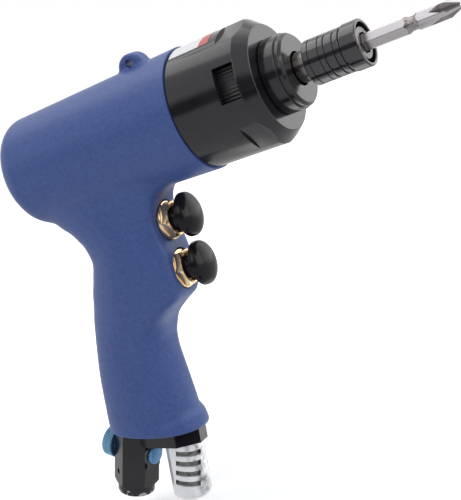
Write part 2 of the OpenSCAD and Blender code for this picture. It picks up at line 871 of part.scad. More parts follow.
// knob, spool and pin end in one turned piece
module regulator_spool() {
  half = inlet_af / 2;
  clip_from = half + ring_clip_gap;
  color(pale_blue)
  at_inlet()
  difference() {
    union() {
      rod(-half - knob_neck_gap, half + pin_proud, spool_r);
      rod(knob_x, -half - knob_neck_gap, knob_neck_r);
      rod(knob_x - knob_l + knob_bevel, knob_x, knob_r);
      cone_x_rod(knob_x - knob_l, knob_x - knob_l + knob_bevel, knob_r - knob_bevel, knob_r);
    }
    difference() {
      rod(-spool_waist_l / 2, spool_waist_l / 2, spool_r + cut);
      rod(-spool_waist_l, spool_waist_l, spool_waist_r);
    }
    difference() {
      rod(clip_from, clip_from + ring_clip_t, spool_r + cut);
      rod(clip_from - cut, clip_from + ring_clip_t + cut, ring_clip_root);
    }
  }
}

module retaining_clip() {
  x = inlet_af / 2 + ring_clip_gap + fit_gap;
  t = ring_clip_t - 2 * fit_gap;
  color(dark)
  at_inlet()
  difference() {
    union() {
      rod(x, x + t, ring_clip_r);
      for (side = [-ring_clip_open - ring_clip_leg_w, ring_clip_open])
        translate([x, side, -ring_clip_leg_l]) cube([t, ring_clip_leg_w, ring_clip_leg_l]);
    }
    rod(x - cut, x + t + cut, ring_clip_root + fit_gap);
    translate([x - cut, -ring_clip_open, -ring_clip_r - cut]) cube([t + 2 * cut, 2 * ring_clip_open, ring_clip_r]);
  }
}

// oval body drawn along -z
module oval(a, b, h, top) {
  side = b - a;
  for (s = [-1, 1])
    translate([0, s * side, top - h]) cylinder(h = h, r = a, $fn = round_fn);
  translate([-a, -side, top - h]) cube([2 * a, 2 * side, h]);
}

module muffler_shell() {
  color(steel)
  at_base() translate([muffler_x, 0, -plate_t])
  difference() {
    union() {
      oval(muffler_a, muffler_b, muffler_l - muffler_round, 0);
      for (s = [-1, 1])
        translate([0, s * (muffler_b - muffler_a), -muffler_l])
          cylinder(h = muffler_round, r1 = muffler_a - muffler_round, r2 = muffler_a, $fn = round_fn);
      cylinder(h = muffler_neck_l, r = muffler_neck_r, $fn = small_fn);
    }
    oval(muffler_a - muffler_wall, muffler_b - muffler_wall, muffler_l - muffler_round - felt_bottom, -muffler_wall);
    translate([0, 0, -muffler_wall - cut]) cylinder(h = muffler_l, r = duct_r - cut, $fn = small_fn);
    for (i = [0 : muffler_slots - 1])
      rotate([0, slot_lean, 0]) rotate([0, 0, slot_turn])
        translate([-slot_left, -2 * slot_floor, -slot_first - i * slot_pitch - slot_h / 2])
          cube([3 * slot_left, slot_floor, slot_h]);
  }
}

module muffler_felt() {
  color([0.8, 0.8, 0.78])
  at_base() translate([muffler_x, 0, -plate_t])
    oval(muffler_a - muffler_wall - felt_gap, muffler_b - muffler_wall - felt_gap,
      muffler_l - muffler_round - felt_bottom - 2 * felt_gap, -muffler_wall - felt_gap);
}

module rear_end_plate() {
  color(steel)
  difference() {
    rod(rear_plate_x, rear_plate_x + rear_plate_l, plate_r);
    rod(rear_plate_x - cut, rear_plate_x + rear_plate_l - plate_lip, bearing_r + fit_gap);
    rod(rear_plate_x, rear_plate_x + rear_plate_l + cut, lip_r);
  }
}

module rear_bearing() {
  color(steel) bearing(rear_plate_x, rear_plate_l - plate_lip - fit_gap, bearing_r, bearing_bore);
}

module motor_cylinder() {
  color(steel)
  difference() {
    rod(liner_x, liner_x + liner_l, plate_r);
    translate([0, 0, -liner_shift]) rod(liner_x - cut, liner_x + liner_l + cut, liner_bore);
    duct(feed_x, 0, feed_x, -bay_r - cut, feed_r);
  }
}

module rotor() {
  color(steel)
  difference() {
    union() {
      rod(rear_plate_x, gear_x, journal_r);
      rod(liner_x + rotor_gap, liner_x + liner_l - rotor_gap, rotor_r);
      translate([gear_x, 0, 0]) along_x()
        linear_extrude(sun_l) gear_outline(sun_teeth, tip_share, root_share, backlash);
    }
    vane_slots();
  }
}

module vane_slots() {
  for (i = [0 : vane_count - 1])
    rotate([i * 360 / vane_count, 0, 0])
      translate([liner_x, -vane_t / 2 - vane_gap, rotor_r - vane_depth - vane_gap])
        cube([liner_l, vane_t + 2 * vane_gap, vane_depth + cut]);
}

module rotor_vanes() {
  color(dark)
  for (i = [0 : vane_count - 1])
    rotate([i * 360 / vane_count, 0, 0])
      translate([liner_x + rotor_gap, -vane_t / 2, rotor_r - vane_depth])
        cube([liner_l - 2 * rotor_gap, vane_t, vane_depth - vane_gap]);
}

module front_end_plate() {
  color(steel)
  difference() {
    rod(front_plate_x, front_plate_x + front_plate_l, plate_r);
    rod(front_plate_x + plate_lip, front_plate_x + front_plate_l + cut, bearing_r + fit_gap);
    rod(front_plate_x - cut, front_plate_x + front_plate_l, lip_r);
  }
}

module front_bearing() {
  color(steel)
    bearing(front_plate_x + plate_lip + fit_gap, front_plate_l - plate_lip - 2 * fit_gap, bearing_r, bearing_bore);
}

function involute(a) = tan(a) * 180 / PI - a;

function flank_half(teeth, r, gap) =
  let (pitch_r = gear_module * teeth / 2, base_r = pitch_r * cos(pressure), rr = max(r, base_r))
  90 / teeth - gap / 2 / pitch_r * 180 / PI + involute(pressure) - involute(acos(base_r / rr));

// outline of a gear with curved flanks
module gear_outline(teeth, tip, root, gap) {
  pitch_r = gear_module * teeth / 2;
  tip_edge = pitch_r + tip * gear_module;
  root_edge = pitch_r - root * gear_module;
  base_r = pitch_r * cos(pressure);
  start_r = max(root_edge, base_r);
  steps = 4;
  radii = concat(root_edge < base_r ? [root_edge] : [],
    [for (i = [0 : steps]) start_r + (tip_edge - start_r) * i / steps]);
  count = len(radii);
  points = [for (t = [0 : teeth - 1])
    each concat(
      [for (i = [0 : count - 1])
        let (a = t * 360 / teeth - flank_half(teeth, radii[i], gap)) radii[i] * [cos(a), sin(a)]],
      [for (i = [count - 1 : -1 : 0])
        let (a = t * 360 / teeth + flank_half(teeth, radii[i], gap)) radii[i] * [cos(a), sin(a)]])];
  polygon(points);
}

module ring_gear() {
  color(steel)
  difference() {
    rod(gear_x, gear_x + gear_l, plate_r);
    translate([gear_x - cut, 0, 0]) along_x()
      linear_extrude(gear_l + 2 * cut) gear_outline(ring_teeth, root_share, tip_share, -backlash);
  }
}

module planet(i) {
  turn = i * 360 / planet_count;
  color(steel)
  translate([planet_x, 0, 0]) along_x() rotate([0, 0, turn]) translate([centre_d, 0, 0])
  difference() {
    linear_extrude(planet_l) gear_outline(planet_teeth, tip_share, root_share, backlash);
    translate([0, 0, -cut]) cylinder(h = planet_l + 2 * cut, r = planet_bore, $fn = small_fn);
  }
}

module planet_gear_1() {
  planet(0);
}

module planet_gear_2() {
  planet(1);
}

module planet_gear_3() {
  planet(2);
}

module ball_places() {
  for (i = [0 : ball_count - 1])
    rotate([i * 360 / ball_count, 0, 0]) translate([carrier_x + carrier_l + clutch_gap / 2, ball_ring_r, 0]) children();
}

module planet_carrier() {
  color(steel)
  difference() {
    union() {
      rod(carrier_x, carrier_x + carrier_l, carrier_r);
      for (i = [0 : planet_count - 1])
        translate([planet_x - fit_gap, 0, 0]) along_x() rotate([0, 0, i * 360 / planet_count])
          translate([centre_d, 0, 0]) cylinder(h = carrier_x - planet_x + carrier_l / 2, r = pin_r, $fn = small_fn);
    }
    ball_places() sphere(r = ball_r + pocket_gap, $fn = small_fn);
  }
}

module clutch_balls() {
  color(steel) ball_places() sphere(r = ball_r, $fn = small_fn);
}

module clutch_plate() {
  color(steel)
  difference() {
    rod(clutch_plate_x, clutch_plate_x + clutch_plate_l, clutch_plate_r);
    rod(clutch_plate_x - cut, clutch_plate_x + clutch_plate_l + cut, ring_bore);
    ball_places() sphere(r = ball_r + pocket_gap, $fn = small_fn);
  }
}

module spring_washer() {
  x = clutch_plate_x + clutch_plate_l + fit_gap;
  color(steel)
  difference() {
    rod(x, x + washer_t, washer_r);
    rod(x - cut, x + washer_t + cut, ring_bore);
  }
}

module clutch_spring() {
  x = clutch_plate_x + clutch_plate_l + washer_t + 2 * fit_gap;
  color(steel) translate([x, 0, 0]) along_x() coil(spring_r, spring_wire, spring_curls, ring_x - x - free_gap);
}

// moves the barrel frame so that the hanging eye lies at the origin
module placed() {
  translate([-eye_x, 0, -eye_z]) children();
}

placed() pistol_housing();
placed() front_casing();
placed() nose_cap();
placed() torque_ring();
placed() output_spindle();
placed() chuck_sleeve();
placed() driver_bit();
placed() upper_valve_bush();
placed() lower_valve_bush();
placed() upper_button();
placed() lower_button();
placed() upper_valve_stem();
placed() lower_valve_stem();
placed() upper_valve_spring();
placed() lower_valve_spring();
placed() base_plate();
placed() base_screws();
placed() inlet_block();
placed() inlet_screen();
placed() regulator_spool();
placed() retaining_clip();
placed() muffler_shell();
placed() muffler_felt();
placed() rear_end_plate();
placed() rear_bearing();
placed() motor_cylinder();
placed() rotor();
placed() rotor_vanes();
placed() front_end_plate();
placed() front_bearing();
placed() ring_gear();
placed() planet_gear_1();
placed() planet_gear_2();
placed() planet_gear_3();
placed() planet_carrier();
placed() clutch_balls();
placed() clutch_plate();
placed() spring_washer();
placed() clutch_spring();
placed() spindle_bearing();
placed() lock_balls();
placed() chuck_spring();
placed() chuck_clip();
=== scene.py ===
# Looks of the pneumatic screwdriver: camera, light, materials and the shown pieces.
# Lengths are millimetres in the tool frame (x along the barrel, 0 at the blue and black joint)
# and are turned into metres of the shared frame when a mesh is made.
import math
import bmesh
import bpy
import numpy as np
from mathutils import Matrix, Vector


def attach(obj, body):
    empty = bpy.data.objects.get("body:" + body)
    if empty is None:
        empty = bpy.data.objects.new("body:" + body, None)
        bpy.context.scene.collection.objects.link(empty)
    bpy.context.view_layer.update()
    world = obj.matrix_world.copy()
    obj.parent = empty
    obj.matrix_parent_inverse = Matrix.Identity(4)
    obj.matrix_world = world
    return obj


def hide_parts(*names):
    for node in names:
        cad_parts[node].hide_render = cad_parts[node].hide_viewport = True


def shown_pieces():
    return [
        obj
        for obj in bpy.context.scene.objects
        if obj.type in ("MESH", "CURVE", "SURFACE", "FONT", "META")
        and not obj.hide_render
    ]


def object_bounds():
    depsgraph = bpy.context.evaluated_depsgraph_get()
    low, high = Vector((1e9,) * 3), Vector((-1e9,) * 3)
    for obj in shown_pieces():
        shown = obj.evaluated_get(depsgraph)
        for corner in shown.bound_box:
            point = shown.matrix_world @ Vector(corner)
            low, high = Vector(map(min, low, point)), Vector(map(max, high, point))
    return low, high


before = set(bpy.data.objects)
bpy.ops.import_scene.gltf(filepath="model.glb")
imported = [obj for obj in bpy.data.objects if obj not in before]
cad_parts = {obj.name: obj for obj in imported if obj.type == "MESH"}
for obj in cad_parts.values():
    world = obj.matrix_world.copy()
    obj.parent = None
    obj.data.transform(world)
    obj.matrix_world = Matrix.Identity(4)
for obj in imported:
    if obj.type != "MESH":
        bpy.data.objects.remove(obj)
cad_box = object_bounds()

MM = 1000.0  # millimetres in a metre
FULL = 2 * math.pi
ORIGIN = np.array([-20.0, 0.0, 26.1])  # centre of the hanging eye, where the shared frame starts
BARREL_R, BARREL_L, REAR_R, REAR_ROUND = 25.0, 86.0, 22.6, 7.0
HANDLE_L, HANDLE_W = 128.0, 16.2
BASE = (-0.581 * HANDLE_L, 0.0, 9.8 - HANDLE_L)
BASE_TILT, VALVE_DIP, INLET_LEAN, INLET_TURN, CASING_TURN = 13.7, 1.2, 26.0, -12.0, 12.0
SPOOL = (BASE[0] - 15.6, 0.0, BASE[2] - 7.35)
UPPER = (-0.2586 * HANDLE_L, 0.0, -0.2922 * HANDLE_L)
LOWER = (-0.2781 * HANDLE_L, 0.0, -0.4508 * HANDLE_L)

TINY = 1e-6  # a smaller radius is a point on the axis
MERGE = 1e-7  # metres between points that become one
ARC_SHARE = 0.48  # most of a profile's side that one rounded corner takes


# ---------------------------------------------------------------- placing
def turn(axis, degrees):
    return Matrix.Rotation(math.radians(degrees), 4, axis)


TOOL = Matrix.Identity(4)


def at(point, matrix=TOOL):
    return Matrix.Translation(Vector(point)) @ matrix


ALONG, ACROSS = turn("Y", 90), turn("X", 90)
AT_BASE = at(BASE, turn("Y", BASE_TILT))
AT_INLET = at(SPOOL, turn("Y", INLET_LEAN) @ turn("Z", INLET_TURN))
AT_SPOOL = AT_INLET @ ALONG
AT_UPPER = at(UPPER, turn("Y", 90 + VALVE_DIP))
AT_LOWER = at(LOWER, turn("Y", 90 + VALVE_DIP))
AT_MUFFLER = AT_BASE @ at((10.1, 0, -6.6))


# ---------------------------------------------------------------- shapes
def object_from(name, verts, faces, matrix=TOOL):
    """A mesh object in the shared frame from points in millimetres of a local frame."""
    m = np.array(matrix)
    v = np.asarray(verts, float)
    v = v @ m[:3, :3].T + m[:3, 3]
    v = (v - ORIGIN) / MM
    mesh = bpy.data.meshes.new(name)
    mesh.from_pydata(v.tolist(), [], [list(f) for f in faces])
    mesh.validate()
    mesh.update()
    obj = bpy.data.objects.new(name, mesh)
    bpy.context.scene.collection.objects.link(obj)
    return obj


def fixed(obj, merge=MERGE):
    """Joins doubled points, fills open ends and turns all faces outwards."""
    bm = bmesh.new()
    bm.from_mesh(obj.data)
    bmesh.ops.remove_doubles(bm, verts=bm.verts, dist=merge)
    holes = [e for e in bm.edges if e.is_boundary]
    if holes:
        bmesh.ops.holes_fill(bm, edges=holes, sides=0)
    bmesh.ops.recalc_face_normals(bm, faces=bm.faces)
    bm.to_mesh(obj.data)
    bm.free()
    return obj


def soft_corners(points, steps):
    """Points (h, r, radius) of a profile; each inner corner with a radius becomes an arc."""
    out = []
    last = len(points) - 1
    for i, p in enumerate(points):
        radius = p[2] if len(p) > 2 else 0
        if radius <= 0 or i in (0, last):
            out.append((p[0], p[1]))
            continue
        c = np.array(p[:2], float)
        a = np.array(points[i - 1][:2], float) - c
        b = np.array(points[i + 1][:2], float) - c
        la, lb = np.linalg.norm(a), np.linalg.norm(b)
        ua, ub = a / la, b / lb
        half = math.acos(max(-1, min(1, float(ua @ ub)))) / 2
        reach = min(radius / math.tan(half), ARC_SHARE * la, ARC_SHARE * lb)
        r = reach * math.tan(half)
        inwards = (ua + ub) / np.linalg.norm(ua + ub)
        centre = c + inwards * (r / math.sin(half))
        s, e = c + ua * reach, c + ub * reach
        a0 = math.atan2(*(s - centre)[::-1])
        a1 = math.atan2(*(e - centre)[::-1])
        d = (a1 - a0 + math.pi) % FULL - math.pi
        for k in range(steps + 1):
            t = a0 + d * k / steps
            out.append((centre[0] + r * math.cos(t), centre[1] + r * math.sin(t)))
    return out


def turned(name, points, matrix=TOOL, sides=96, steps=4, wave=None):
    """A turned piece: profile points (h, r, radius) spun round the local z axis."""
    verts, rings = [], []
    for h, r in soft_corners(points, steps):
        start = len(verts)
        if r < TINY:
            rings.append([start])
            verts.append((0, 0, h))
            continue
        rings.append(range(start, start + sides))
        for j in range(sides):
            a = FULL * j / sides
            rr = r if wave is None else wave(h, r, a)
            verts.append((rr * math.cos(a), rr * math.sin(a), h))
    faces = []
    for p, q in zip(rings, rings[1:]):
        if len(p) == 1 and len(q) == 1:
            continue
        for j in range(sides):
            k = (j + 1) % sides
            if len(p) == 1:
                faces.append((p[0], q[k], q[j]))
            elif len(q) == 1:
                faces.append((p[j], p[k], q[0]))
            else:
                faces.append((p[j], p[k], q[k], q[j]))
    return fixed(object_from(name, verts, faces, matrix))


def rod(name, radius, low, high, matrix, sides):
    return turned(name, [(low, 0), (low, radius), (high, radius), (high, 0)], matrix, sides)


def stacked(name, rings, matrix=TOOL, merge=MERGE):
    """Closed form through rings that have the same number of points."""
    n, m = len(rings), len(rings[0])
    faces = []
    for i in range(n - 1):
        for j in range(m):
            k = (j + 1) % m
            faces.append((i * m + j, i * m + k, (i + 1) * m + k, (i + 1) * m + j))
    faces.append(tuple(range(m)))
    faces.append(tuple((n - 1) * m + j for j in range(m)))
    return fixed(object_from(name, [p for ring in rings for p in ring], faces, matrix), merge)


def prism(name, outline, low, high, matrix=TOOL):
    n = len(outline)
    verts = [(x, y, low) for x, y in outline] + [(x, y, high) for x, y in outline]
    faces = [tuple(range(n - 1, -1, -1)), tuple(range(n, 2 * n))]
    faces += [(j, (j + 1) % n, n + (j + 1) % n, n + j) for j in range(n)]
    return fixed(object_from(name, verts, faces, matrix))


def block(name, low, high, matrix=TOOL):
    outline = [(low[0], low[1]), (high[0], low[1]), (high[0], high[1]), (low[0], high[1])]
    return prism(name, outline, low[2], high[2], matrix)


def hexagon(flats):
    """Outline by its width over flats, with two corners on the local y axis."""
    r = flats / 2 / math.cos(math.pi / 6)
    angles = [math.radians(30 + 60 * i) for i in range(6)]
    return [(r * math.cos(a), r * math.sin(a)) for a in angles]


# ---------------------------------------------------------------- changes to a mesh
def applied(obj):
    """Replaces the mesh by the one its modifiers give."""
    dg = bpy.context.evaluated_depsgraph_get()
    dg.update()
    mesh = bpy.data.meshes.new_from_object(obj.evaluated_get(dg))
    obj.modifiers.clear()
    old = obj.data
    obj.data = mesh
    bpy.data.meshes.remove(old)


def cut(obj, *tools, operation="DIFFERENCE"):
    for t in tools:
        m = obj.modifiers.new("cut", "BOOLEAN")
        m.operation = operation
        m.solver = "EXACT"
        m.object = t
        applied(obj)
        bpy.data.objects.remove(t)


def bevel(obj, width, angle, segments=2):
    """Small rounded edges, widths in millimetres, where faces meet at more than the angle."""
    m = obj.modifiers.new("edge", "BEVEL")
    m.width = width / MM
    m.segments = segments
    m.limit_method = "ANGLE"
    m.angle_limit = math.radians(angle)


def bevelled(obj, width, angle, segments=2):
    bevel(obj, width, angle, segments)
    applied(obj)


def shade(obj):
    obj.modifiers.new("shade", "WEIGHTED_NORMAL").keep_sharp = True


def dressed(obj, material, body, replaces=(), angle=32):
    """Shading, material, body and what the piece stands for."""
    mesh = obj.data
    for p in mesh.polygons:
        p.use_smooth = True
    bm = bmesh.new()
    bm.from_mesh(mesh)
    for e in bm.edges:
        if len(e.link_faces) == 2:
            e.smooth = e.calc_face_angle(0) < math.radians(angle)
    bm.to_mesh(mesh)
    bm.free()
    shade(obj)
    mesh.materials.clear()
    mesh.materials.append(material)
    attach(obj, body)
    if replaces:
        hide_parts(*replaces)


def second_material(obj, material, chosen):
    """Gives the faces that chosen picks another material."""
    obj.data.materials.append(material)
    for p in obj.data.polygons:
        if chosen(p):
            p.material_index = 1


# ---------------------------------------------------------------- shader nodes
def linear(*rgb):
    """Linear colour from display values of 0 to 255."""
    shares = [c / 255 for c in rgb]
    return tuple(s / 12.92 if s <= 0.04045 else ((s + 0.055) / 1.055) ** 2.4 for s in shares) + (1,)


def math_node(nt, kind, a, b=None):
    """One Math node; a and b are numbers or sockets."""
    n = nt.nodes.new("ShaderNodeMath")
    n.operation = kind
    for socket, value in zip(n.inputs, (a, b)):
        if value is None:
            continue
        if isinstance(value, (int, float)):
            socket.default_value = value
        else:
            nt.links.new(value, socket)
    return n.outputs[0]


def product(nt, value, *factors):
    for factor in factors:
        value = math_node(nt, "MULTIPLY", value, factor)
    return value


def span(nt, value, low, high, to=(0, 1)):
    """The first number of to where the value is at low, the second at high, level beyond them."""
    n = nt.nodes.new("ShaderNodeMapRange")
    for name, number in zip(("From Min", "From Max", "To Min", "To Max"), (low, high, *to)):
        n.inputs[name].default_value = number
    nt.links.new(value, n.inputs["Value"])
    return n.outputs["Result"]


def zone(nt, axes, rows):
    """1 inside all rows, 0 outside; a row is an axis, the value where 0 ends and the one where 1 starts."""
    return product(nt, *[span(nt, axes[i], none, whole) for i, none, whole in rows])


def object_point(nt):
    return next(n for n in nt.nodes if n.type == "TEX_COORD").outputs["Object"]


def axes_of(nt, vector):
    split = nt.nodes.new("ShaderNodeSeparateXYZ")
    nt.links.new(vector, split.inputs[0])
    return tuple(split.outputs)


def local_parts(nt, place):
    """Sockets with the millimetre coordinates in the local frame that place puts into the tool frame."""
    back = place.inverted()
    mapping = nt.nodes.new("ShaderNodeMapping")
    mapping.inputs["Rotation"].default_value = back.to_euler("XYZ")
    mapping.inputs["Location"].default_value = back @ Vector(ORIGIN)
    mapping.inputs["Scale"].default_value = (MM, MM, MM)
    nt.links.new(object_point(nt), mapping.inputs["Vector"])
    return axes_of(nt, mapping.outputs["Vector"])


def noise_of(nt, scale, detail=3, point=None):
    n = nt.nodes.new("ShaderNodeTexNoise")
    n.inputs["Scale"].default_value = scale
    n.inputs["Detail"].default_value = detail
    nt.links.new(point or object_point(nt), n.inputs["Vector"])
    return n.outputs["Fac"]


def tint(mat, factor, colour):
    """Mixes a colour over the base colour by a factor socket."""
    nt = mat.node_tree
    target = nt.nodes["Principled BSDF"].inputs["Base Color"]
    mix = nt.nodes.new("ShaderNodeMix")
    mix.data_type = "RGBA"
    mix.clamp_factor = True
    nt.links.new(factor, mix.inputs[0])
    nt.links.new(target.links[0].from_socket, mix.inputs[6])
    mix.inputs[7].default_value = colour
    nt.links.new(mix.outputs[2], target)


# ---------------------------------------------------------------- materials
NOISE_LOW, NOISE_HIGH = 0.3, 0.7  # noise values where a mottled surface is all of one kind


def material(name, colours, rough=(0.3, 0.4), metal=0.0, scale=60, bump=0.05, bump_scale=900,
             distance=0.0002, stretch=(1, 1, 1), spec=0.5):
    """Surface with mottled colour, uneven roughness and a fine bump, all from noise in object space."""
    mat = bpy.data.materials.new(name)
    mat.use_nodes = True
    nt = mat.node_tree
    bsdf = nt.nodes["Principled BSDF"]
    coord = nt.nodes.new("ShaderNodeTexCoord")
    mapping = nt.nodes.new("ShaderNodeMapping")
    mapping.inputs["Scale"].default_value = stretch
    nt.links.new(coord.outputs["Object"], mapping.inputs["Vector"])
    point = mapping.outputs["Vector"]
    ramp = nt.nodes.new("ShaderNodeValToRGB")
    for stop, position, colour in zip(ramp.color_ramp.elements, (NOISE_LOW, NOISE_HIGH), colours):
        stop.position = position
        stop.color = linear(*colour)
    nt.links.new(noise_of(nt, scale, 4, point), ramp.inputs["Fac"])
    nt.links.new(ramp.outputs["Color"], bsdf.inputs["Base Color"])
    fine = noise_of(nt, bump_scale, 3, point)
    nt.links.new(span(nt, fine, NOISE_LOW, NOISE_HIGH, rough), bsdf.inputs["Roughness"])
    lump = nt.nodes.new("ShaderNodeBump")
    lump.inputs["Strength"].default_value = bump
    lump.inputs["Distance"].default_value = distance
    nt.links.new(fine, lump.inputs["Height"])
    nt.links.new(lump.outputs["Normal"], bsdf.inputs["Normal"])
    bsdf.inputs["Metallic"].default_value = metal
    bsdf.inputs["Specular IOR Level"].default_value = spec
    return mat


BLUE = material("blue_coating", [(56, 78, 136), (65, 89, 148)], rough=(0.36, 0.48), scale=650, bump=0.12,
                bump_scale=1500, spec=0.4)
BLACK = material("black_anodised", [(20, 20, 25), (29, 28, 34)], rough=(0.13, 0.17), scale=90, bump=0.01,
                 distance=0.0001)
BLACK_STEEL = material("black_steel", [(23, 23, 28), (32, 31, 37)], rough=(0.09, 0.13), scale=120, bump=0.01,
                       distance=0.0001, spec=0.8)
CLIP = material("clip_steel", [(8, 8, 10), (13, 13, 15)], rough=(0.08, 0.12), scale=200, bump=0.01,
                distance=0.0001, spec=1.0)
CAP = material("cap_plastic", [(20, 20, 23), (27, 26, 30)], rough=(0.15, 0.19), scale=150, bump=0.0,
               bump_scale=300, spec=0.18)
STEEL = material("bright_steel", [(184, 180, 183), (197, 193, 196)], rough=(0.24, 0.28), metal=0.92,
                 scale=90, bump=0.02, bump_scale=700, distance=0.00005, stretch=(0.2, 1, 1))
SPINDLE = material("spindle_steel", [(112, 109, 107), (138, 134, 132)], rough=(0.22, 0.28), metal=1.0,
                   scale=120, bump=0.02, bump_scale=700, distance=0.00005, stretch=(1, 0.2, 0.2))
FACE = material("anvil_face_steel", [(92, 90, 91), (118, 115, 115)], rough=(0.34, 0.42), metal=0.9,
                scale=200, bump=0.02, distance=0.00005)
FLUTE = material("ground_flute_steel", [(134, 129, 129), (156, 151, 150)], rough=(0.3, 0.4), metal=0.9,
                 scale=300, bump=0.03, distance=0.00005)
BRASS = material("brass", [(238, 206, 160), (250, 224, 182)], rough=(0.16, 0.22), metal=0.92, scale=140,
                 bump=0.01, bump_scale=500, distance=0.00005)
# The chrome's mottled colour, stretched upwards, stands for painted blotchy reflection.
CHROME = material("muffler_chrome", [(226, 227, 231), (250, 250, 252)], rough=(0.1, 0.16), metal=0.45,
                  scale=150, bump=0.03, bump_scale=200, distance=0.0003, stretch=(1, 1, 0.3))
FELT = material("felt", [(86, 86, 84), (150, 150, 146)], rough=(0.85, 0.95), scale=500, bump=0.5,
                bump_scale=1500, distance=0.0004, spec=0.2)
DARK_STEEL = material("torque_ring_steel", [(26, 26, 29), (38, 38, 41)], rough=(0.28, 0.36), scale=120,
                      bump=0.02)


# ---------------------------------------------------------------- camera
SENSOR = 36  # mm
FOCAL_PX, PHOTO_PX = 1407, 461
CAMERA_RIGHT, CAMERA_UP = (0.83397, 0.40705, -0.37256), (0.27692, 0.27527, 0.92062)
CAMERA_BACK, CAMERA_AT = (0.4773, -0.87094, 0.11685), (0.27566, -0.48689, -0.0176)


def add_camera():
    cam = bpy.data.cameras.new("camera")
    cam.sensor_fit = "HORIZONTAL"
    cam.sensor_width = SENSOR
    cam.lens = SENSOR * FOCAL_PX / PHOTO_PX
    cam.clip_start = 0.01
    cam.clip_end = 20
    obj = bpy.data.objects.new("camera", cam)
    bpy.context.scene.collection.objects.link(obj)
    obj.matrix_world = Matrix((*zip(CAMERA_RIGHT, CAMERA_UP, CAMERA_BACK, CAMERA_AT), (0, 0, 0, 1)))
    bpy.context.scene.camera = obj


add_camera()


# ---------------------------------------------------------------- housing
# The handle by depth under the barrel axis: rear and front edge, half width, power of the front's oval
# and how much narrower the front is.
DEPTH = np.array([11.5, 14.5, 16.5, 18.5, 21, 23.5, 24.8, 26.3, 28.5, 32.5, 36, 42, 49, 55.5, 62, 65.5, 68.5, 71.5,
                  75.5, 79, 83, 89, 96, 103, 110, 114, 118, 128])
REAR = np.array([-81, -81, -81, -80.8, -80.5, -80, -79.3, -78, -75.8, -73.3, -71.6, -70.8, -73.7, -77.1, -79.9,
                 -81.6, -82.8, -83.7, -85, -86.2, -87.6, -89.6, -91.5, -93.2, -94.8, -95.3, -95.1, -95.1])
FRONT = np.array([-22.5, -22.5, -22.8, -23.2, -24.2, -26, -27.6, -29.3, -30.8, -32.3, -33.2, -33.5, -33.2, -33.4,
                  -34, -34.8, -36.6, -41.9, -47.4, -49.4, -51.1, -52.3, -52.7, -53.2, -53.7, -54, -52.9, -52.8])
WIDTH = HANDLE_W * np.array([1.21, 1.151, 1.086, 1.046, 1.03, 1.025, 1.025, 1.022, 1.02, 1.012, 1.01, 1.01, 1.008,
                             1.006, 1, 0.995, 0.985, 0.98, 0.97, 0.964, 0.96, 0.957, 0.965, 0.98, 1, 1.012, 1.025,
                             1.037])
POWER = np.array([2.6, 3, 3.4, 4, 5, 6, 7, 7, 7, 7, 7, 7, 7, 7, 7, 6, 5, 3.8, 2.9, 2.5, 2.3, 2.25, 2.2, 2.2, 2.2,
                  2.1, 2.1, 2.1])
NARROW = np.array([0.1, 0.1, 0.12, 0.14, 0.16, 0.2, 0.22, 0.22, 0.22, 0.22, 0.22, 0.22, 0.22, 0.22, 0.22, 0.21,
                   0.2, 0.17, 0.14, 0.12, 0.12, 0.11, 0.11, 0.1, 0.1, 0.06, 0, 0])
REAR_POWER = 2.2
REAR_DOME = 1.2  # how far the middle of the barrel's rear end stands out
TAPER_END, SKIN_END = 20, 1.5  # ends of the taper and of the skin before it is cut off at 0
LUG_X, LUG_Z, LUG_R, LUG_HALF, LUG_EDGE = -20.0, 24.1, 5.8, 3.75, 1.3
GRIP_BLEND, LUG_BLEND, RIM_BLEND = 3.6, 1.6, 1.4
RIM_NORMAL = np.array([-math.sin(math.radians(BASE_TILT)), 0.0, -math.cos(math.radians(BASE_TILT))])
EYE_R, VALVE_SPOT_R, VALVE_HOLE_R, MOTOR_BORE_R = 1.7, 8.6, 6.1, 22.5
VOXEL = 0.0013  # metres
SKIN_TOP, SKIN_BOTTOM, SKIN_RINGS, SKIN_SIDES = 12, 127.5, 60, 48  # depths and counts of the first handle
GRIP_STEP, SKIN_STEP = 0.05, 0.04  # mm over which the slopes are measured
LEAST_SLOPE, LEAST_SQUARE, MOST_MOVE = 1e-4, 0.05, 1.2


def smooth_table(depth, table):
    """Smooth values between the handle's sections: monotone cubic steps."""
    x, y = DEPTH, table
    h = np.diff(x)
    s = np.diff(y) / h
    m = np.zeros_like(y)
    for i in range(1, len(y) - 1):
        if s[i - 1] * s[i] > 0:
            w1, w2 = 2 * h[i] + h[i - 1], h[i] + 2 * h[i - 1]
            m[i] = (w1 + w2) / (w1 / s[i - 1] + w2 / s[i])
    m[0], m[-1] = s[0], s[-1]
    d = np.clip(depth, x[0], x[-1])
    i = np.clip(np.searchsorted(x, d, side="right") - 1, 0, len(h) - 1)
    t = (d - x[i]) / h[i]
    a = 2 * t ** 3 - 3 * t ** 2 + 1
    b = t ** 3 - 2 * t ** 2 + t
    return a * y[i] + b * h[i] * m[i] + (1 - a) * y[i + 1] + (t ** 3 - t ** 2) * h[i] * m[i + 1]


def handle_value(p):
    """0 on the handle's skin, less inside, without units."""
    d = -p[:, 2]
    rear, front = smooth_table(d, REAR), smooth_table(d, FRONT)
    half, mid = (front - rear) / 2, (front + rear) / 2
    x = (p[:, 0] - mid) / half
    power = np.where(x > 0, smooth_table(d, POWER), REAR_POWER)
    w = smooth_table(d, WIDTH) * (1 - smooth_table(d, NARROW) * np.clip(x, 0, 1))
    y = np.abs(p[:, 1]) / w
    return (np.abs(x) ** power + y ** power) ** (1 / power) - 1


def gradient(f, p, step):
    g = np.zeros_like(p)
    for i in range(3):
        e = np.zeros(3)
        e[i] = step
        g[:, i] = (f(p + e) - f(p - e)) / (2 * step)
    return g


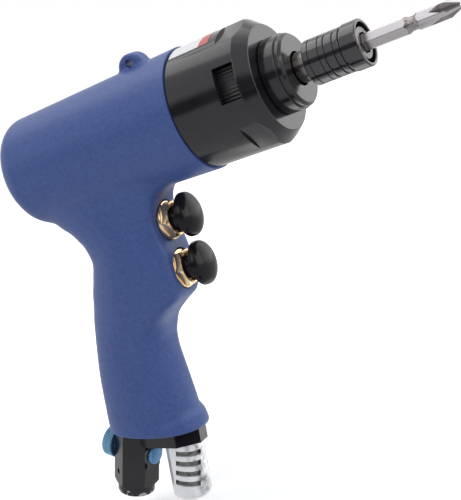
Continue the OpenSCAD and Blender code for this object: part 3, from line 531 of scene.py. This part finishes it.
def smooth_min(a, b, k):
    h = np.clip(0.5 + 0.5 * (b - a) / k, 0, 1)
    return b * (1 - h) + a * h - k * h * (1 - h)


def round_meeting(a, b, radius):
    """Distance to a form inside both distances, with the edge between them rounded."""
    q1, q2 = a + radius, b + radius
    return np.minimum(np.maximum(q1, q2), 0) + np.hypot(np.maximum(q1, 0), np.maximum(q2, 0)) - radius


def barrel_value(p):
    """Domed rear end with a rounded edge and slight taper."""
    x, r = p[:, 0], np.hypot(p[:, 1], p[:, 2])
    skin = BARREL_R + (BARREL_R - REAR_R) * np.clip(x, -BARREL_L, TAPER_END) / BARREL_L
    rear = -(x + BARREL_L) + REAR_DOME * (r / BARREL_R) ** 2 - REAR_DOME
    return round_meeting(rear, r - skin, REAR_ROUND)


def lug_value(p):
    radial = np.hypot(p[:, 0] - LUG_X, p[:, 2] - LUG_Z) - LUG_R
    return round_meeting(radial, np.abs(p[:, 1]) - LUG_HALF, LUG_EDGE)


def housing_value(p):
    """About the distance to the housing's skin, with soft fillets between its parts."""
    d = -p[:, 2]
    slope = np.linalg.norm(gradient(handle_value, p, GRIP_STEP), axis=1)
    grip = handle_value(p) / np.maximum(slope, LEAST_SLOPE)
    grip = np.where(d < DEPTH[0], np.maximum(grip, DEPTH[0] - d), grip)
    body = smooth_min(barrel_value(p), grip, GRIP_BLEND)
    body = smooth_min(body, lug_value(p), LUG_BLEND)
    body = np.maximum(body, p[:, 0] - SKIN_END)
    rim = (p - np.array(BASE)) @ RIM_NORMAL
    return -smooth_min(-body, -rim, RIM_BLEND)


def settle(obj, rounds):
    """Moves the mesh's points onto the housing's skin, by no more than MOST_MOVE gradients a round."""
    v = np.empty(len(obj.data.vertices) * 3)
    obj.data.vertices.foreach_get("co", v)
    p = v.reshape(-1, 3) * MM + ORIGIN
    for _ in range(rounds):
        value = housing_value(p)
        g = gradient(housing_value, p, SKIN_STEP)
        square = np.maximum((g ** 2).sum(axis=1), LEAST_SQUARE)
        p = p - g * np.clip(value / square, -MOST_MOVE, MOST_MOVE)[:, None]
    obj.data.vertices.foreach_set("co", ((p - ORIGIN) / MM).ravel())
    obj.data.update()


def make_housing():
    """Handle, barrel and lug joined, remeshed, settled onto their blended skin and bored."""
    rings = []
    for d in np.linspace(SKIN_TOP, SKIN_BOTTOM, SKIN_RINGS):
        rear, front, w, power, narrow = (smooth_table(d, t) for t in (REAR, FRONT, WIDTH, POWER, NARROW))
        h, mid = (front - rear) / 2, (front + rear) / 2
        ring = []
        for j in range(SKIN_SIDES):
            a = FULL * j / SKIN_SIDES
            c, s = math.cos(a), math.sin(a)
            q = power if c > 0 else REAR_POWER
            x = math.copysign(abs(c) ** (2 / q), c)
            y = math.copysign(abs(s) ** (2 / q), s) * (1 - narrow * max(0, x))
            ring.append((mid + h * x, w * y, -d))
        rings.append(ring)
    grip = stacked("pistol_housing_skin", rings)
    barrel = turned("barrel", [(-86.6, 0), (-86, 16), (-79.5, 22.4), (1.6, 25), (1.6, 0)], ALONG, 72)
    lug = rod("lug", 5.6, -3.6, 3.6, at((LUG_X, 0, LUG_Z), ACROSS), 36)
    cut(grip, barrel, lug, operation="UNION")
    m = grip.modifiers.new("grid", "REMESH")
    m.mode = "VOXEL"
    m.voxel_size = VOXEL
    applied(grip)
    settle(grip, 6)
    m = grip.modifiers.new("finer", "SUBSURF")
    m.levels = 1
    m.render_levels = 1
    applied(grip)
    settle(grip, 4)
    cut(grip, rod("eye", EYE_R, -9, 9, at(ORIGIN, ACROSS), 40))
    for m in (AT_UPPER, AT_LOWER):
        cut(grip, rod("spot", VALVE_SPOT_R, 0, 9, m, 72), rod("hole", VALVE_HOLE_R, -12, 2, m, 48))
    cut(grip, block("front", (0, -40, -60), (6, 40, 60)), rod("bore", MOTOR_BORE_R, -13, 2, ALONG, 96))
    dressed(grip, BLUE, "housing", ["pistol_housing"], angle=38)


make_housing()


# ---------------------------------------------------------------- casing, nose and label
CASING_R, CASING_FRONT_R, FACE_R, CONE_X, CASING_END = 24.2, 24.8, 21.0, 30.7, 35.6
TAIL_X, TAIL_R, MOTOR_R, NOSE_SEAT_R, NOSE_SEAT_X = -11.5, 22.4, 21.3, 13.0, 31
FLAT_D, FLAT_X = 23.5, 22.9
WINDOW_X, WINDOW_END, WINDOW_HALF = 21.6, 30.5, 7
LABEL_X, LABEL_END, LABEL_HALF_ANGLE, LABEL_LIFT = 1.2, 19.2, 29, 0.06
STRIPE_X, STRIPE_EDGE = 14.7, 0.2
LABEL_T = 0.00005  # metres


def make_casing():
    """Turned shell with four wrench flats and the window of the torque ring."""
    obj = turned("front_casing_shell", [
        (TAIL_X, MOTOR_R), (TAIL_X, TAIL_R, 0.3), (0.15, TAIL_R), (0.15, CASING_R, 0.25),
        (CONE_X, CASING_FRONT_R, 0.5), (CASING_END, FACE_R, 0.6), (CASING_END, NOSE_SEAT_R),
        (NOSE_SEAT_X, NOSE_SEAT_R), (NOSE_SEAT_X, MOTOR_R), (TAIL_X, MOTOR_R)], ALONG, 160)
    for i in (1, 2, 4, 5):
        place = turn("X", -(CASING_TURN + 60 * i))
        cut(obj, block("flat", (FLAT_X, -60, -26), (CASING_END + 2, -FLAT_D, 26), place))
    cut(obj, block("window", (WINDOW_X, -60, -WINDOW_HALF), (WINDOW_END, -10, WINDOW_HALF),
                   turn("X", -CASING_TURN)))
    bevelled(obj, 0.28, 30)
    dressed(obj, BLACK, "housing", ["front_casing"])


def make_nose():
    obj = turned("nose_cap_turned", [
        (31.2, 6.7), (31.2, 12.9), (35.5, 12.9), (35.6, 14.5, 0.3), (36.1, 15.0, 0.4), (42.4, 15.0, 0.3),
        (42.5, 14.3), (43.0, 14.3), (43.1, 14.4, 0.2), (44.2, 14.4, 0.5), (45.2, 13.4, 0.4), (45.2, 6.7, 0.3),
        (31.2, 6.7)], ALONG, 128)
    dressed(obj, BLACK, "housing", ["nose_cap"])


def make_label():
    """Plain pale band with a red stripe, lying on top of the casing."""
    along, around = 16, 24
    verts, faces = [], []
    for i in range(along + 1):
        x = LABEL_X + (LABEL_END - LABEL_X) * i / along
        r = CASING_R + (CASING_FRONT_R - CASING_R) * x / CONE_X + LABEL_LIFT
        for j in range(around + 1):
            a = math.radians(-LABEL_HALF_ANGLE + 2 * LABEL_HALF_ANGLE * j / around)
            verts.append((x, r * math.sin(a), r * math.cos(a)))
    for i in range(along):
        for j in range(around):
            a = i * (around + 1) + j
            faces.append((a, a + around + 1, a + around + 2, a + 1))
    obj = object_from("plain_label", verts, faces)
    thick = obj.modifiers.new("thick", "SOLIDIFY")
    thick.thickness = LABEL_T
    thick.offset = 0
    applied(obj)
    mat = material("label_print", [(226, 226, 226), (238, 238, 240)], scale=300, bump=0.03)
    nt = mat.node_tree
    x = local_parts(nt, TOOL)[0]
    tint(mat, span(nt, x, STRIPE_X, STRIPE_X + STRIPE_EDGE), linear(190, 84, 72))
    dressed(obj, mat, "housing")


make_casing()
make_nose()
make_label()


# ---------------------------------------------------------------- spindle, sleeve and bit
ANVIL_X, ANVIL_END, ANVIL_R, SPINDLE_X, SPINDLE_R = 50.2, 72.9, 6.4, 30, 6.0
SOCKET_X, SOCKET_FLATS, RECESS_X, RECESS_FLATS = 50, 6.45, 71.4, 7.9
SLEEVE_X, SLEEVE_R, SLEEVE_RIM_R, SLEEVE_END, SLEEVE_BORE, SLEEVE_BAY = 50.6, 8.8, 9.2, 73.5, 6.45, 7.8
SCRIBED = (53.3, 57.6)
GROOVES = ((60.3, SLEEVE_R), (64.0, SLEEVE_R), (66.6, SLEEVE_RIM_R))  # place and radius in front of it
BIT_FLATS, BIT_X, BIT_END, BIT_NECK_R, TIP_TURN = 6.35, 48, 111.5, 2.65, 59
CORNER_SHARE = 1.11  # the corners are turned down to this share of the half width
# Flutes of the tip: start, slope in degrees, and where the cutting block begins and ends from there.
FLUTES = (((99.4, 0, 3.4), 24, 0, 4.75), ((103.6, 0, 1.6), 5.5, -0.3, 9))


def make_spindle():
    """Spindle end with the bit holder's hexagon socket; its front face is a duller steel."""
    obj = turned("output_spindle_turned", [
        (SPINDLE_X, 0), (SPINDLE_X, SPINDLE_R), (ANVIL_X, SPINDLE_R, 0.2), (ANVIL_X, ANVIL_R, 0.2),
        (ANVIL_END, ANVIL_R, 0.6), (ANVIL_END, 0)], ALONG)
    cut(obj, prism("socket", hexagon(SOCKET_FLATS), SOCKET_X, 75, ALONG),
        prism("recess", hexagon(RECESS_FLATS), RECESS_X, 75, ALONG))
    bevelled(obj, 0.22, 40)
    dressed(obj, SPINDLE, "spindle", ["output_spindle"])
    second_material(obj, FACE, lambda p: p.normal.x > 0.95)


def make_sleeve():
    """Quick-change sleeve: two scribed lines, three grooves and a rounded rim."""
    prof = [(SLEEVE_X, SLEEVE_BORE), (SLEEVE_X, 8.3, 0.2), (51.1, SLEEVE_R, 0.3)]
    for x in SCRIBED:
        prof += [(x - 0.22, SLEEVE_R), (x - 0.15, 8.45), (x + 0.15, 8.45), (x + 0.22, SLEEVE_R)]
    for x, after in GROOVES:
        prof += [(x - 0.6, SLEEVE_R, 0.15), (x - 0.4, 8.25), (x + 0.4, 8.25), (x + 0.6, after, 0.15)]
    prof += [(SLEEVE_END, SLEEVE_RIM_R, 1.1), (SLEEVE_END, SLEEVE_BAY, 0.4), (68, SLEEVE_BAY), (60, SLEEVE_BAY),
             (59.7, SLEEVE_BORE), (SLEEVE_X, SLEEVE_BORE)]
    obj = turned("chuck_sleeve_turned", prof, ALONG, 144)
    dressed(obj, BLACK_STEEL, "sleeve", ["chuck_sleeve"])


def make_bit():
    """Double ended hexagon bit with ball grooves and a cross tip; the ground flutes are a darker steel, and the
    neck of the front ball groove gets the same darker colour as painted shade.
    """
    corner = BIT_FLATS / 2 * CORNER_SHARE
    obj = prism("driver_bit_ground", hexagon(BIT_FLATS), BIT_X, BIT_END, ALONG)
    keep = turned("keep", [
        (47.9, 0), (47.9, corner, 0.2), (54.1, corner), (55.5, BIT_NECK_R), (59.5, BIT_NECK_R), (60.9, corner),
        (89.8, corner), (91.6, BIT_NECK_R, 0.9), (93.7, BIT_NECK_R, 0.9), (95.6, corner), (106, corner, 1.5),
        (BIT_END, 1.2, 0.5), (BIT_END, 0)], ALONG)
    cut(obj, keep, operation="INTERSECT")
    normals = []
    for i in range(4):
        for start, slope, low, high in FLUTES:
            place = turn("X", 90 * i + TIP_TURN) @ at(start, turn("Y", slope) @ turn("X", 45))
            cut(obj, block("flute", (low, 0, 0), (high, 8, 8), place))
            normals += [place.col[1].to_3d().normalized(), place.col[2].to_3d().normalized()]
    bevelled(obj, 0.1, 25)
    dressed(obj, STEEL, "spindle", ["driver_bit"])

    # Faces of the ground flutes, and of the front ball groove's neck, whose darker colour there is painted shade.
    def ground(p):
        x, y, z = Vector(p.center) * MM + Vector(ORIGIN)
        r = math.hypot(y, z)
        neck = 89.9 < x < 95.5 and r < 3.5 and (abs(p.normal.x) > 0.1 or r < 2.9)
        return neck or any(p.normal.dot(n) > 0.998 for n in normals)

    second_material(obj, FLUTE, ground)


make_spindle()
make_sleeve()
make_bit()


# ---------------------------------------------------------------- valves and buttons
BUSH_TAIL, BUSH_TAIL_R, FLANGE_R, FLANGE_T = -9.4, 6.0, 8.1, 1.8
NUT_FLATS, NUT_BACK, NUT_FRONT, MOUTH_R, MOUTH_FLOOR = 14, 1.6, 4.7, 6.2, 0.8
CAP_R, CAP_RIM, CAP_DOME = 9.2, 10.6, 4.0


def make_bush(name, node, place):
    """Round flange with a domed hexagon on it, bored for the button's neck."""
    obj = turned(name, [
        (BUSH_TAIL, 0), (BUSH_TAIL, BUSH_TAIL_R), (0, BUSH_TAIL_R), (0.02, FLANGE_R, 0.3),
        (FLANGE_T, FLANGE_R, 0.5), (FLANGE_T, 0)], place)
    nut = prism("nut", hexagon(NUT_FLATS), NUT_BACK, NUT_FRONT, place)
    dome = turned("dome", [(1.0, 0), (1.0, 9.6), (3.2, 8.45), (NUT_FRONT, 6.95, 0.2), (NUT_FRONT, 0)], place, 120)
    cut(nut, dome, operation="INTERSECT")
    cut(obj, nut, operation="UNION")
    cut(obj, rod("mouth", MOUTH_R, MOUTH_FLOOR, 6, place, 64))
    bevelled(obj, 0.16, 30)
    dressed(obj, BRASS, "housing", [node])


def make_button(name, node, place, body):
    """Mushroom button: neck, flaring underside, rim and a domed top."""
    prof = [(4.1, 0), (4.1, 5.25, 0.2), (7.2, 5.25), (7.3, 5.1), (8.6, 5.1, 0.3), (9.0, 6.2, 0.4), (9.1, 8.9, 0.25),
            (9.4, CAP_R, 0.25), (CAP_RIM, CAP_R)]
    prof += [(CAP_RIM + CAP_DOME * math.sin(t), CAP_R * math.cos(t)) for t in np.linspace(0.1, math.pi / 2, 18)]
    dressed(turned(name, prof, place), CAP, body, [node])


make_bush("upper_bush_turned", "upper_valve_bush", AT_UPPER)
make_bush("lower_bush_turned", "lower_valve_bush", AT_LOWER)
make_button("upper_button_cap", "upper_button", AT_UPPER, "upper_button")
make_button("lower_button_cap", "lower_button", AT_LOWER, "lower_button")


# ---------------------------------------------------------------- inlet, regulator and torque ring
INLET_FLATS, INLET_CORNER_R, FOOT_Z, FOOT_SHOULDER = 16.8, 10.3, -15.9, -13.7
COLLAR_END, COLLAR_R, PORT_R, PORT_FLOOR, CROSS_R, BLEED_R = -19.6, 7.9, 5.72, -7.7, 4.05, 1.3
# Height under which the inlet block's bottom gets painted glints, spots of painted highlight, and how far that
# height wanders.
GLINT_Z, GLINT_WANDER = -18.4, 7
SPOOL_R, PIN_END = 4.0, 8.4
KNOB_BACK, KNURL_END, KNOB_R = -14.3, -9.4, 7.0
KNURL_AROUND, KNURL_ALONG = 36, 5.2  # waves in a turn, and radians of a wave in a millimetre
KNURL_DEPTH, KNURL_ROWS = 0.2, 34
CLIP_BACK, CLIP_FRONT = 8.65, 9.5
RIBS, RIB_DEPTH = 96, 0.4


def make_inlet():
    """Hexagonal block cut off at the base plane, with a collar, port, cross bore and bleed hole."""
    obj = prism("inlet_block_milled", hexagon(INLET_FLATS), FOOT_Z, 30, AT_INLET)
    keep = turned("keep", [(-16.5, 0), (-16.5, 7.4), (FOOT_Z, 7.85), (FOOT_SHOULDER, INLET_CORNER_R),
                           (31, INLET_CORNER_R), (31, 0)], AT_INLET)
    cut(obj, keep, operation="INTERSECT")
    cut(obj, block("above", (-80, -40, 0), (80, 40, 80), AT_BASE))
    collar = turned("collar", [(COLLAR_END, 0), (COLLAR_END, COLLAR_R, 1.0), (-14.5, COLLAR_R), (-14.5, 0)],
                    AT_INLET, 96, 6)
    cut(obj, collar, operation="UNION")
    port = turned("port", [(-21, 0), (-21, 6.4), (COLLAR_END, 6.4, 0.1), (-18.9, PORT_R), (PORT_FLOOR, PORT_R),
                           (PORT_FLOOR, 0)], AT_INLET, 64)
    cross = rod("cross", CROSS_R, -20, 20, AT_SPOOL, 48)
    bleed = rod("bleed", BLEED_R, 6.6, 9, AT_INLET @ turn("Z", -120) @ at((0, 0, -9.4), ALONG), 24)
    cut(obj, port, cross, bleed)
    bevelled(obj, 0.3, 28)
    mat = material("black_anodised_painted_glints", [(29, 29, 34), (38, 37, 43)], rough=(0.14, 0.18), scale=90, bump=0.01,
                   distance=0.0001, spec=0.36)
    nt = mat.node_tree
    z = local_parts(nt, AT_INLET)[2]
    # Painted highlight: bright glints in spots on the block's bottom, below a wandering height.
    wander = product(nt, math_node(nt, "SUBTRACT", noise_of(nt, 300), 0.5), GLINT_WANDER)
    low = math_node(nt, "LESS_THAN", z, math_node(nt, "ADD", GLINT_Z, wander))
    glint_spots = math_node(nt, "GREATER_THAN", noise_of(nt, 420, 4), 0.5)
    tint(mat, product(nt, low, glint_spots, 0.75), linear(214, 214, 216))
    dressed(obj, mat, "housing", ["inlet_block"])


def make_spool():
    """Knob with a diamond knurl, spool and pin end in one turned piece."""
    def knurl(h, r, a):
        if not (-13.9 < h < KNURL_END - 0.05) or r < 6:
            return r
        u = math.sin(KNURL_AROUND * a + KNURL_ALONG * h) * math.sin(KNURL_AROUND * a - KNURL_ALONG * h)
        return r - KNURL_DEPTH + KNURL_DEPTH * u

    prof = [(KNOB_BACK, 0), (KNOB_BACK, 6.3, 0.2), (-13.95, 6.8)]
    prof += [(-13.85 + 4.35 * i / KNURL_ROWS, KNOB_R) for i in range(KNURL_ROWS + 1)]
    prof += [(KNURL_END, 6.7), (-9.1, 6.3), (-9.1, 4.4, 0.2), (-8.7, 4.4), (-8.7, SPOOL_R), (-3.5, SPOOL_R),
             (-3.5, 2.2), (3.5, 2.2), (3.5, SPOOL_R)]
    prof += [(PIN_END + 0.3, SPOOL_R), (PIN_END + 0.3, 3.5), (PIN_END + 1.1, 3.5), (PIN_END + 1.1, SPOOL_R),
             (PIN_END + 2.4, SPOOL_R, 0.35), (PIN_END + 2.4, 0)]
    obj = turned("regulator_spool_turned", prof, AT_SPOOL, 352, 3, knurl)
    mat = material("knurled_pale_blue", [(146, 202, 232), (166, 216, 242)], rough=(0.26, 0.34), metal=0.3,
                   scale=300, bump=0.02, spec=0.4)
    pin_colour_and_painted_knurl_shade(mat)
    dressed(obj, mat, "regulator", ["regulator_spool"])


def pin_colour_and_painted_knurl_shade(mat):
    """A deeper blue pin; painted shade darkens the bottoms between the diamonds of the knob and the knob's inner
    face.
    """
    nt = mat.node_tree
    x, y, h = local_parts(nt, AT_SPOOL)
    around = product(nt, math_node(nt, "ARCTAN2", y, x), KNURL_AROUND)
    along = product(nt, h, KNURL_ALONG)
    u = product(nt, math_node(nt, "SINE", math_node(nt, "ADD", around, along)),
                math_node(nt, "SINE", math_node(nt, "SUBTRACT", around, along)))
    # Painted shade in the bottoms between the knurl's diamonds.
    valley_shade = product(nt, math_node(nt, "SUBTRACT", 0.25, u), 2.2)
    out = math_node(nt, "SQRT", math_node(nt, "ADD", product(nt, x, x), product(nt, y, y)))
    knob = product(nt, math_node(nt, "GREATER_THAN", out, 6.45), math_node(nt, "LESS_THAN", h, KNURL_END))
    # Painted shade on the knob's inner face and the neck behind it.
    inner = product(nt, math_node(nt, "GREATER_THAN", h, KNURL_END - 0.05), math_node(nt, "LESS_THAN", h, -8.0))
    pin = math_node(nt, "GREATER_THAN", h, 0)
    dark = math_node(nt, "MAXIMUM", product(nt, valley_shade, knob), product(nt, inner, 0.9))
    tint(mat, product(nt, pin, 0.55), linear(26, 108, 196))
    tint(mat, dark, linear(24, 74, 124))


def make_clip():
    """E-clip round the pin end, open downwards."""
    out_r, in_r, leg_in, leg_out, leg_end = 5.6, 4.05, 2.3, 4.1, 5.9
    a0, b0 = math.asin(leg_out / out_r), math.asin(leg_in / in_r)
    pts = [(leg_end, leg_in), (leg_end, leg_out)]
    pts += [(out_r * math.cos(a), out_r * math.sin(a)) for a in np.linspace(a0, FULL - a0, 64)]
    pts += [(leg_end, -leg_out), (leg_end, -leg_in)]
    pts += [(in_r * math.cos(a), in_r * math.sin(a)) for a in np.linspace(FULL - b0, b0, 56)]
    obj = prism("retaining_clip_stamped", pts, CLIP_BACK, CLIP_FRONT, AT_SPOOL)
    bevelled(obj, 0.18, 35, 3)
    dressed(obj, CLIP, "regulator", ["retaining_clip"])


def make_torque_ring():
    def wave(h, r, a):
        return r if r < 20 else r - RIB_DEPTH * (0.5 - 0.5 * math.cos(RIBS * a)) ** 0.7

    obj = turned("torque_ring_ribbed", [(20.4, 8), (20.4, 20.3), (20.8, 21), (30.2, 21), (30.6, 20.3), (30.6, 8),
                                        (20.4, 8)], ALONG, RIBS * 6, 1, wave)
    dressed(obj, DARK_STEEL, "torque_ring", ["torque_ring"], angle=60)


make_inlet()
make_spool()
make_clip()
make_torque_ring()


# ---------------------------------------------------------------- muffler
MUFFLER_A, MUFFLER_B, MUFFLER_H, MUFFLER_ROUND = 8.0, 8.5, 24.2, 2.2  # half widths, height, bottom edge
MUFFLER_INNER = (6.9, 7.4)
MUFFLER_TOP, MUFFLER_FLOOR = -1.1, -20.0
SLOTS, SLOT_FIRST, SLOT_PITCH, SLOT_HALF, SLOT_LEAN, SLOT_TURN = 4, -2.95, 4.4, 1.15, 11, 26
SLOT_X, SLOT_Y = (-3.3, 7.1), (-13.6, -3.2)


def oval(a, b):
    """Outline of two half circles of radius a with straight sides between them, half length b."""
    steps, side = 32, b - a
    pts = []
    for s, start in ((1, 0), (-1, 180)):
        for i in range(steps + 1):
            t = math.radians(start + 180 * i / steps)
            pts.append((a * math.cos(t), s * side + a * math.sin(t)))
    return pts


def oval_shell(name, levels):
    """Closed form through oval levels (z, a, b) in the muffler's frame."""
    return stacked(name, [[(x, y, z) for x, y in oval(a, b)] for z, a, b in levels], AT_MUFFLER, 1e-6)


def make_muffler():
    """Drawn shell with four slots, and a grey patch of painted reflection on the side that the slots open to."""
    a, b, r = MUFFLER_A, MUFFLER_B, MUFFLER_ROUND
    levels = [(0, a, b), (-0.2, a, b)]
    for i in range(9):
        t = math.pi / 2 * i / 8
        levels.append((-MUFFLER_H + r - r * math.sin(t), a - r + r * math.cos(t), b - r + r * math.cos(t)))
    obj = oval_shell("muffler_shell_drawn", levels)
    cut(obj, oval_shell("inner", [(z, *MUFFLER_INNER) for z in (MUFFLER_TOP, MUFFLER_FLOOR)]))
    place = AT_MUFFLER @ turn("Y", SLOT_LEAN) @ turn("Z", SLOT_TURN)
    for i in range(SLOTS):
        z = SLOT_FIRST - SLOT_PITCH * i
        cut(obj, block("slot", (SLOT_X[0], SLOT_Y[0], z - SLOT_HALF), (SLOT_X[1], SLOT_Y[1], z + SLOT_HALF), place))
    bevelled(obj, 0.14, 32)
    # Painted reflection: a grey blotchy patch on the side that the slots open to.
    nt = CHROME.node_tree
    x, y, z = local_parts(nt, AT_MUFFLER)
    around = math_node(nt, "ARCTAN2", x, product(nt, y, -1.0))
    wander = product(nt, math_node(nt, "SUBTRACT", noise_of(nt, 240, 2), 0.5), 0.5)
    wavy = math_node(nt, "ADD", around, wander)
    near = zone(nt, (wavy,), ((0, 0.72, 0.95), (0, 1.75, 1.45)))
    painted_reflection_blotch = span(nt, noise_of(nt, 330), 0.36, 0.62)
    tint(CHROME, product(nt, near, painted_reflection_blotch, 0.85), linear(104, 104, 111))
    dressed(obj, CHROME, "housing", ["muffler_shell"])


def make_felt():
    """Felt roll with a slightly uneven skin."""
    levels = [(-1.6 - 18.0 * i / 24, 6.45 + 0.04 * math.sin(2.1 * i), 6.95 + 0.04 * math.cos(1.7 * i))
              for i in range(25)]
    dressed(oval_shell("muffler_felt_roll", levels), FELT, "housing", ["muffler_felt"])


make_muffler()
make_felt()


# ---------------------------------------------------------------- carried-over nodes
FINISH = {"base_plate": BLACK, "chuck_clip": BLACK_STEEL, "rotor_vanes": CAP}  # all others are steel
EDGE = {"base_plate": 0.3, "base_screws": 0.12}
shown = {o.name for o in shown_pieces()}
for name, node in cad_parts.items():
    if node.name not in shown:
        continue
    node.data.materials.clear()
    node.data.materials.append(FINISH.get(name, STEEL))
    node.modifiers.new("weld", "WELD").merge_threshold = 1e-6
    if name in EDGE:
        bevel(node, EDGE[name], 30)
        shade(node)


# ---------------------------------------------------------------- floor, light and background
# Where mirror rays see another brightness: (axis, place where it starts, place where it is whole). The floor's
# places are metres, the sky's are parts of a direction.
FLOOR_CORNER = ((0, 0.12, 0.3), (1, -0.35, -0.55))
FLOOR_NEAR = ((0, -0.035, -0.015), (0, 0.06, 0.03), (1, -0.026, -0.034), (1, -0.085, -0.065))
FLOOR_REAR = ((0, -0.05, -0.03), (0, 0.06, 0.03), (1, 0.008, 0.02), (1, 0.14, 0.09))
FLOOR_BRIGHT = ((0, 0.15, 0.4), (1, 0.3, 0.6))
SKY_BAND = ((2, -0.04, 0.04), (2, 0.44, 0.3), (1, -0.35, -0.6))
SKY_CORNER = ((0, 0.25, 0.4), (2, 0.35, 0.2), (1, -0.5, -0.65))
SKY_BRIGHT = ((0, 0.15, 0.4), (1, 0.35, 0.65))
FLOOR_HALF, FLOOR_DROP = 4.0, 0.0002
GLOW_NEAR, GLOW_FAR, GLOW = 0.15, 0.9, (0.35, 1.0)  # distances and the strengths at them
FLOOR_LEVEL, SKY_LEVEL, SKY_LIGHT = 0.8, 1.0, 0.42
AIM = (0.0, 0.0, -0.06)


def area(name, where, size, power):
    data = bpy.data.lights.new(name, "AREA")
    data.shape = "RECTANGLE"
    data.size, data.size_y = size
    data.energy = power
    obj = bpy.data.objects.new(name, data)
    obj.location = where
    obj.rotation_euler = (Vector(AIM) - Vector(where)).to_track_quat("-Z", "Y").to_euler()
    bpy.context.scene.collection.objects.link(obj)


def ray_is(nt, *kinds):
    """1 for rays of these kinds, else 0."""
    path = nt.nodes.new("ShaderNodeLightPath")
    value = path.outputs[kinds[0]]
    for kind in kinds[1:]:
        value = math_node(nt, "MAXIMUM", value, path.outputs[kind])
    return value


def mixed(nt, factor, first, second):
    """Shader that goes from the first to the second as the factor goes from 0 to 1."""
    n = nt.nodes.new("ShaderNodeMixShader")
    for socket, source in zip(n.inputs, (factor, first, second)):
        nt.links.new(source, socket)
    return n.outputs[0]


def brightness(nt, axes, base, *rows):
    """The base number, changed by each row's amount where the greatest of its zones is 1."""
    level = base
    for amount, first, *others in rows:
        value = zone(nt, axes, first)
        for other in others:
            value = math_node(nt, "MAXIMUM", value, zone(nt, axes, other))
        level = math_node(nt, "ADD", level, product(nt, value, amount))
    return level


def make_floor():
    """White ground that glows towards the camera away from the tool and has its own brightness in mirrors."""
    z, s = cad_box[0][2] - FLOOR_DROP, FLOOR_HALF
    mesh = bpy.data.meshes.new("floor")
    mesh.from_pydata([(-s, -s, z), (s, -s, z), (s, s, z), (-s, s, z)], [], [(0, 1, 2, 3)])
    floor = bpy.data.objects.new("floor", mesh)
    bpy.context.scene.collection.objects.link(floor)
    mat = material("floor", [(236, 236, 236), (242, 242, 242)], rough=(0.7, 0.8), scale=8, bump=0.0, spec=0.05)
    nt = mat.node_tree
    far = nt.nodes.new("ShaderNodeVectorMath")
    far.operation = "LENGTH"
    nt.links.new(object_point(nt), far.inputs[0])
    strength = span(nt, far.outputs["Value"], GLOW_NEAR, GLOW_FAR, GLOW)
    glow = nt.nodes.new("ShaderNodeEmission")
    nt.links.new(product(nt, strength, ray_is(nt, "Is Camera Ray")), glow.inputs["Strength"])
    both = nt.nodes.new("ShaderNodeAddShader")
    nt.links.new(nt.nodes["Principled BSDF"].outputs[0], both.inputs[0])
    nt.links.new(glow.outputs[0], both.inputs[1])
    mirror = nt.nodes.new("ShaderNodeEmission")
    level = brightness(nt, axes_of(nt, object_point(nt)), FLOOR_LEVEL, (-0.78, FLOOR_CORNER, FLOOR_NEAR),
                       (1.35, FLOOR_BRIGHT), (1.1, FLOOR_REAR))
    nt.links.new(level, mirror.inputs["Strength"])
    surface = mixed(nt, ray_is(nt, "Is Glossy Ray", "Is Transmission Ray"), both.outputs[0], mirror.outputs[0])
    nt.links.new(surface, nt.nodes["Material Output"].inputs["Surface"])
    mesh.materials.append(mat)


def make_world():
    """Pale sky that lights the tool; camera and mirror rays see white, with dark and bright zones in mirrors."""
    world = bpy.data.worlds.new("studio")
    bpy.context.scene.world = world
    world.use_nodes = True
    nt = world.node_tree
    back = nt.nodes["Background"]
    back.inputs["Color"].default_value = (0.92, 0.95, 1.0, 1)
    back.inputs["Strength"].default_value = SKY_LIGHT
    white = nt.nodes.new("ShaderNodeBackground")
    white.inputs["Color"].default_value = (1, 1, 1, 1)
    seen = ray_is(nt, "Is Camera Ray", "Is Glossy Ray", "Is Transmission Ray")
    surface = mixed(nt, seen, back.outputs[0], white.outputs[0])
    nt.links.new(surface, nt.nodes["World Output"].inputs["Surface"])
    coord = nt.nodes.new("ShaderNodeTexCoord")
    change = brightness(nt, axes_of(nt, coord.outputs["Generated"]), 0.0, (-0.88, SKY_BAND, SKY_CORNER),
                        (1.2, SKY_BRIGHT))
    level = math_node(nt, "ADD", product(nt, change, ray_is(nt, "Is Glossy Ray")), SKY_LEVEL)
    nt.links.new(level, white.inputs["Strength"])
    bpy.context.scene.view_settings.view_transform = "Standard"


make_floor()
make_world()
area("key", (0.15, -0.9, 0.75), (0.8, 0.8), 3.2)
area("top", (-0.1, 0.2, 1.0), (1.2, 0.9), 5.0)
area("right", (0.95, 0.1, 0.1), (0.7, 1.0), 4.2)
area("left", (-0.8, -0.5, 0.1), (0.5, 0.9), 1.0)
